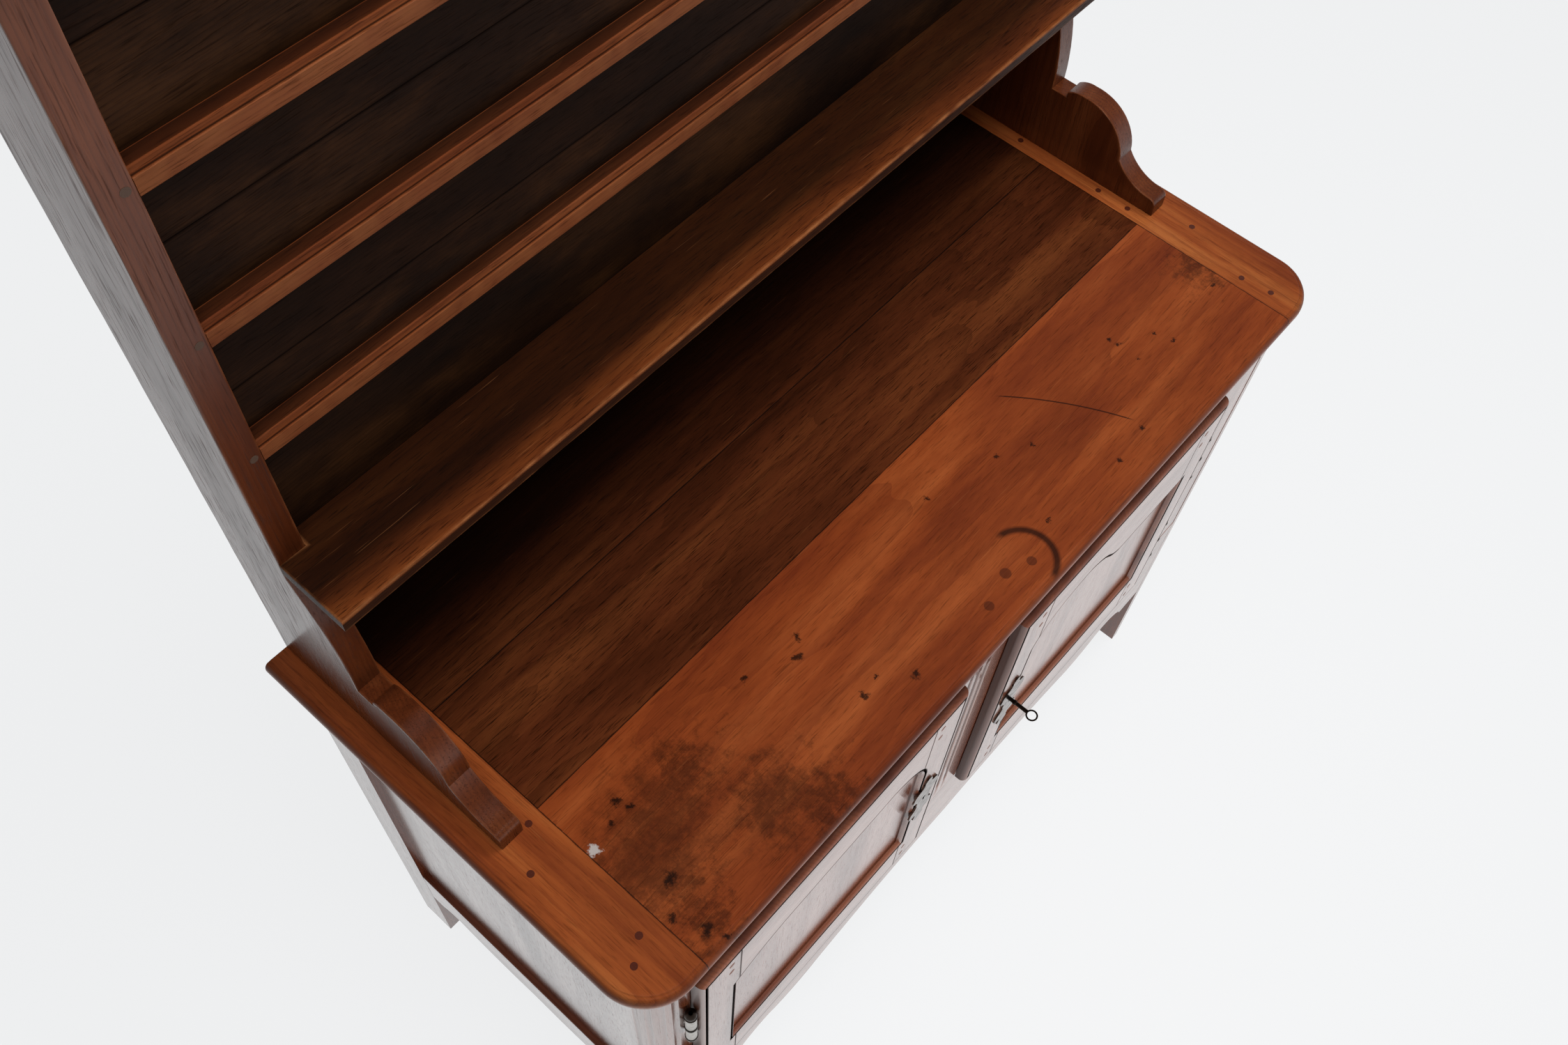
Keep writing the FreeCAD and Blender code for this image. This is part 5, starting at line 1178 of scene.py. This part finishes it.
# %% Key shank
# radius and distance out from the door's face: a sleeve at the plate, a collar, and a shank that swells
# at the bow
SHANK_MM = [(2.5, 3.5), (2.7, 4.5), (2.6, 8.0), (3.4, 9.0), (3.7, 11.0), (3.4, 13.0), (2.4, 14.0), (2.1, 16.0),
            (1.9, 27.0), (2.2, 30.0), (2.0, 31.0)]
key_joint = next(row for row in frame["record"]["behaviour"]["joints"] if row["name"] == "key_turn")
key_x, key_y, key_z = key_joint["pos_m"]
shank_section = [(radius * MM, key_y - out * MM) for radius, out in SHANK_MM]
shank = turned("key_shank_turnings", shank_section, (key_x, key_z), 1)
piece(shank, "key", black_iron, slot="black_iron")
print("key turnings reach", SHANK_MM[-1][1], "mm out of the plate")

# %% Solids that stay, and the shelf bearers
for names, material in ((("left_door_lock_plate", "right_door_lock_plate"), plate_iron), (("key",), black_iron),
                        (("left_hinge_knuckles", "right_hinge_knuckles", "left_hinge_pins", "right_hinge_pins"),
                         bright_steel),
                        (("left_lock_case", "right_lock_case", "left_lock_bolt", "right_lock_bolt"), lock_steel)):
    for name in names:
        solid = frame["nodes"][name]
        solid.data.materials.clear()
        solid.data.materials.append(material)
bearers = [board(f"bearer_{number}", rectangle(low.x, low.y, high.x, high.y), 2, low.z, high.z, 0.8, 140 + number)
           for number, (low, high) in enumerate(islands("shelf_bearers"))]
bearer_mesh = joined("shelf_bearers_wood", bearers)
give_grain(bearer_mesh, 1, 141)
piece(bearer_mesh, "case", board_oak, "shelf_bearers")
print("bearers:", len(bearers), "and pieces in all:", len(pieces_made))

# %% [markdown]
# ## Studio
# A pale floor that the camera and the waxed faces both see as white, two soft lamps above the front and a
# weak one low down, and white walls. The camera stands where the photograph was taken from.

# %% Floor
PAPER = "#f8f9fa"
FLOOR_HALF = 9
FLOOR_GLOW = 0.86


def seen_directly(tree):
    """One for rays from the camera, from shiny faces and through clear ones, nothing for plain light."""
    path = add(tree, "ShaderNodeLightPath").outputs
    shiny = add(tree, "ShaderNodeMath", {0: path["Is Camera Ray"], 1: path["Is Glossy Ray"]}, operation="MAXIMUM")
    return add(tree, "ShaderNodeMath", {0: shiny.outputs[0], 1: path["Is Transmission Ray"]},
               operation="MAXIMUM").outputs[0]


# matt paper: white to the camera and in the wax, with room left for the object's soft shadow
floor_material, floor_tree = new_material("pale_studio_floor")
share = add(floor_tree, "ShaderNodeMath", {0: seen_directly(floor_tree), 1: FLOOR_GLOW}, operation="MULTIPLY")
matt = add(floor_tree, "ShaderNodeBsdfDiffuse", {"Color": linear(PAPER)})
glow = add(floor_tree, "ShaderNodeEmission", {"Color": linear(PAPER), "Strength": 1.0})
both = add(floor_tree, "ShaderNodeMixShader", {0: share.outputs[0], 1: matt.outputs[0], 2: glow.outputs[0]})
add(floor_tree, "ShaderNodeOutputMaterial", {"Surface": both.outputs[0]})
floor_mesh = bpy.data.meshes.new("studio_floor")
corners = rectangle(-FLOOR_HALF, -FLOOR_HALF, FLOOR_HALF, FLOOR_HALF)
floor_mesh.from_pydata(raised(corners, 2, 0.0), [], [(0, 1, 2, 3)])
floor_mesh.materials.append(floor_material)
floor = bpy.data.objects.new("studio_floor", floor_mesh)
bpy.context.scene.collection.objects.link(floor)
floor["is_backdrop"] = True
print("floor:", 2 * FLOOR_HALF, "m square")

# %% Surround
# white walls under a dim ceiling, so that the worktop doesn't mirror a white sky
AMBIENT, WALL, CEILING = 0.06, 0.94, 0.2
world = bpy.data.worlds.new("white_studio")
bpy.context.scene.world = world
world.use_nodes = True
world_tree = world.node_tree
world_tree.nodes.clear()
up = add(world_tree, "ShaderNodeSeparateXYZ", {0: add(world_tree, "ShaderNodeTexCoord").outputs["Generated"]})
wall = add(world_tree, "ShaderNodeMapRange", {"Value": up.outputs["Z"], "From Min": 0.1, "From Max": 0.6,
                                             "To Min": WALL, "To Max": CEILING})
strength = add(world_tree, "ShaderNodeMapRange", {"Value": seen_directly(world_tree), "To Min": AMBIENT,
                                                 "To Max": wall.outputs[0]})
sky = add(world_tree, "ShaderNodeBackground", {"Color": linear(PAPER), "Strength": strength.outputs[0]})
add(world_tree, "ShaderNodeOutputWorld", {"Surface": sky.outputs[0]})
print("walls at", WALL, "and ceiling at", CEILING, "of full white")

# %% Lamps
# each lamp's place, what it points at, its size in metres, its power in watts and its spread in degrees
for name, spot, aim, size, power, spread in (
        ("key_softbox", (-0.6, -0.75, 4.2), (0.0, -0.15, 0.9), 1.6, 66, 180),
        ("right_softbox", (1.3, -0.7, 3.6), (0.2, -0.15, 0.9), 1.4, 45, 180),
        ("front_softbox", (-0.3, -2.6, 0.5), (-0.1, -0.27, 0.65), 1.2, 5, 80)):
    lamp = bpy.data.lights.new(name, "AREA")
    lamp.spread, lamp.size, lamp.energy = math.radians(spread), size, power
    softbox = bpy.data.objects.new(name, lamp)
    bpy.context.scene.collection.objects.link(softbox)
    # as if through crossed polarisers: the lamps light the wood but leave no hot spots in the wax
    softbox.visible_glossy = False
    softbox.location = spot
    softbox.rotation_euler = (Vector(aim) - Vector(spot)).to_track_quat("-Z", "Y").to_euler()
    print(name, power, "W")

# %% Camera
# worked out from the corners of the worktop, the shelves and the doors in the photograph
CAMERA_MM = (-847.65, -525.36, 2465.53)
RIGHT = Vector((0.65834063, -0.75142212, 0.04418611))
DOWN = Vector((-0.62908545, -0.58149288, -0.5158658))
FORWARD = Vector((0.41332688, 0.31181858, -0.85552911))
SENSOR_MM, LENS_MM = 36.0, 33.516
camera_data = bpy.data.cameras.new("photo_camera")
camera_data.sensor_width, camera_data.lens = SENSOR_MM, LENS_MM
camera = bpy.data.objects.new("photo_camera", camera_data)
bpy.context.scene.collection.objects.link(camera)
turn = Matrix((RIGHT, -DOWN, -FORWARD)).transposed().to_4x4()
camera.matrix_world = Matrix.Translation([v * MM for v in CAMERA_MM]) @ turn
bpy.context.scene.camera = camera
bpy.context.scene.view_settings.view_transform = "Standard"
print("camera at", [round(v, 3) for v in camera.location])

# %% Sizes and finish
low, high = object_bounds()
print("visual box", [round(v, 4) for v in high - low], "pieces", len(pieces_made))
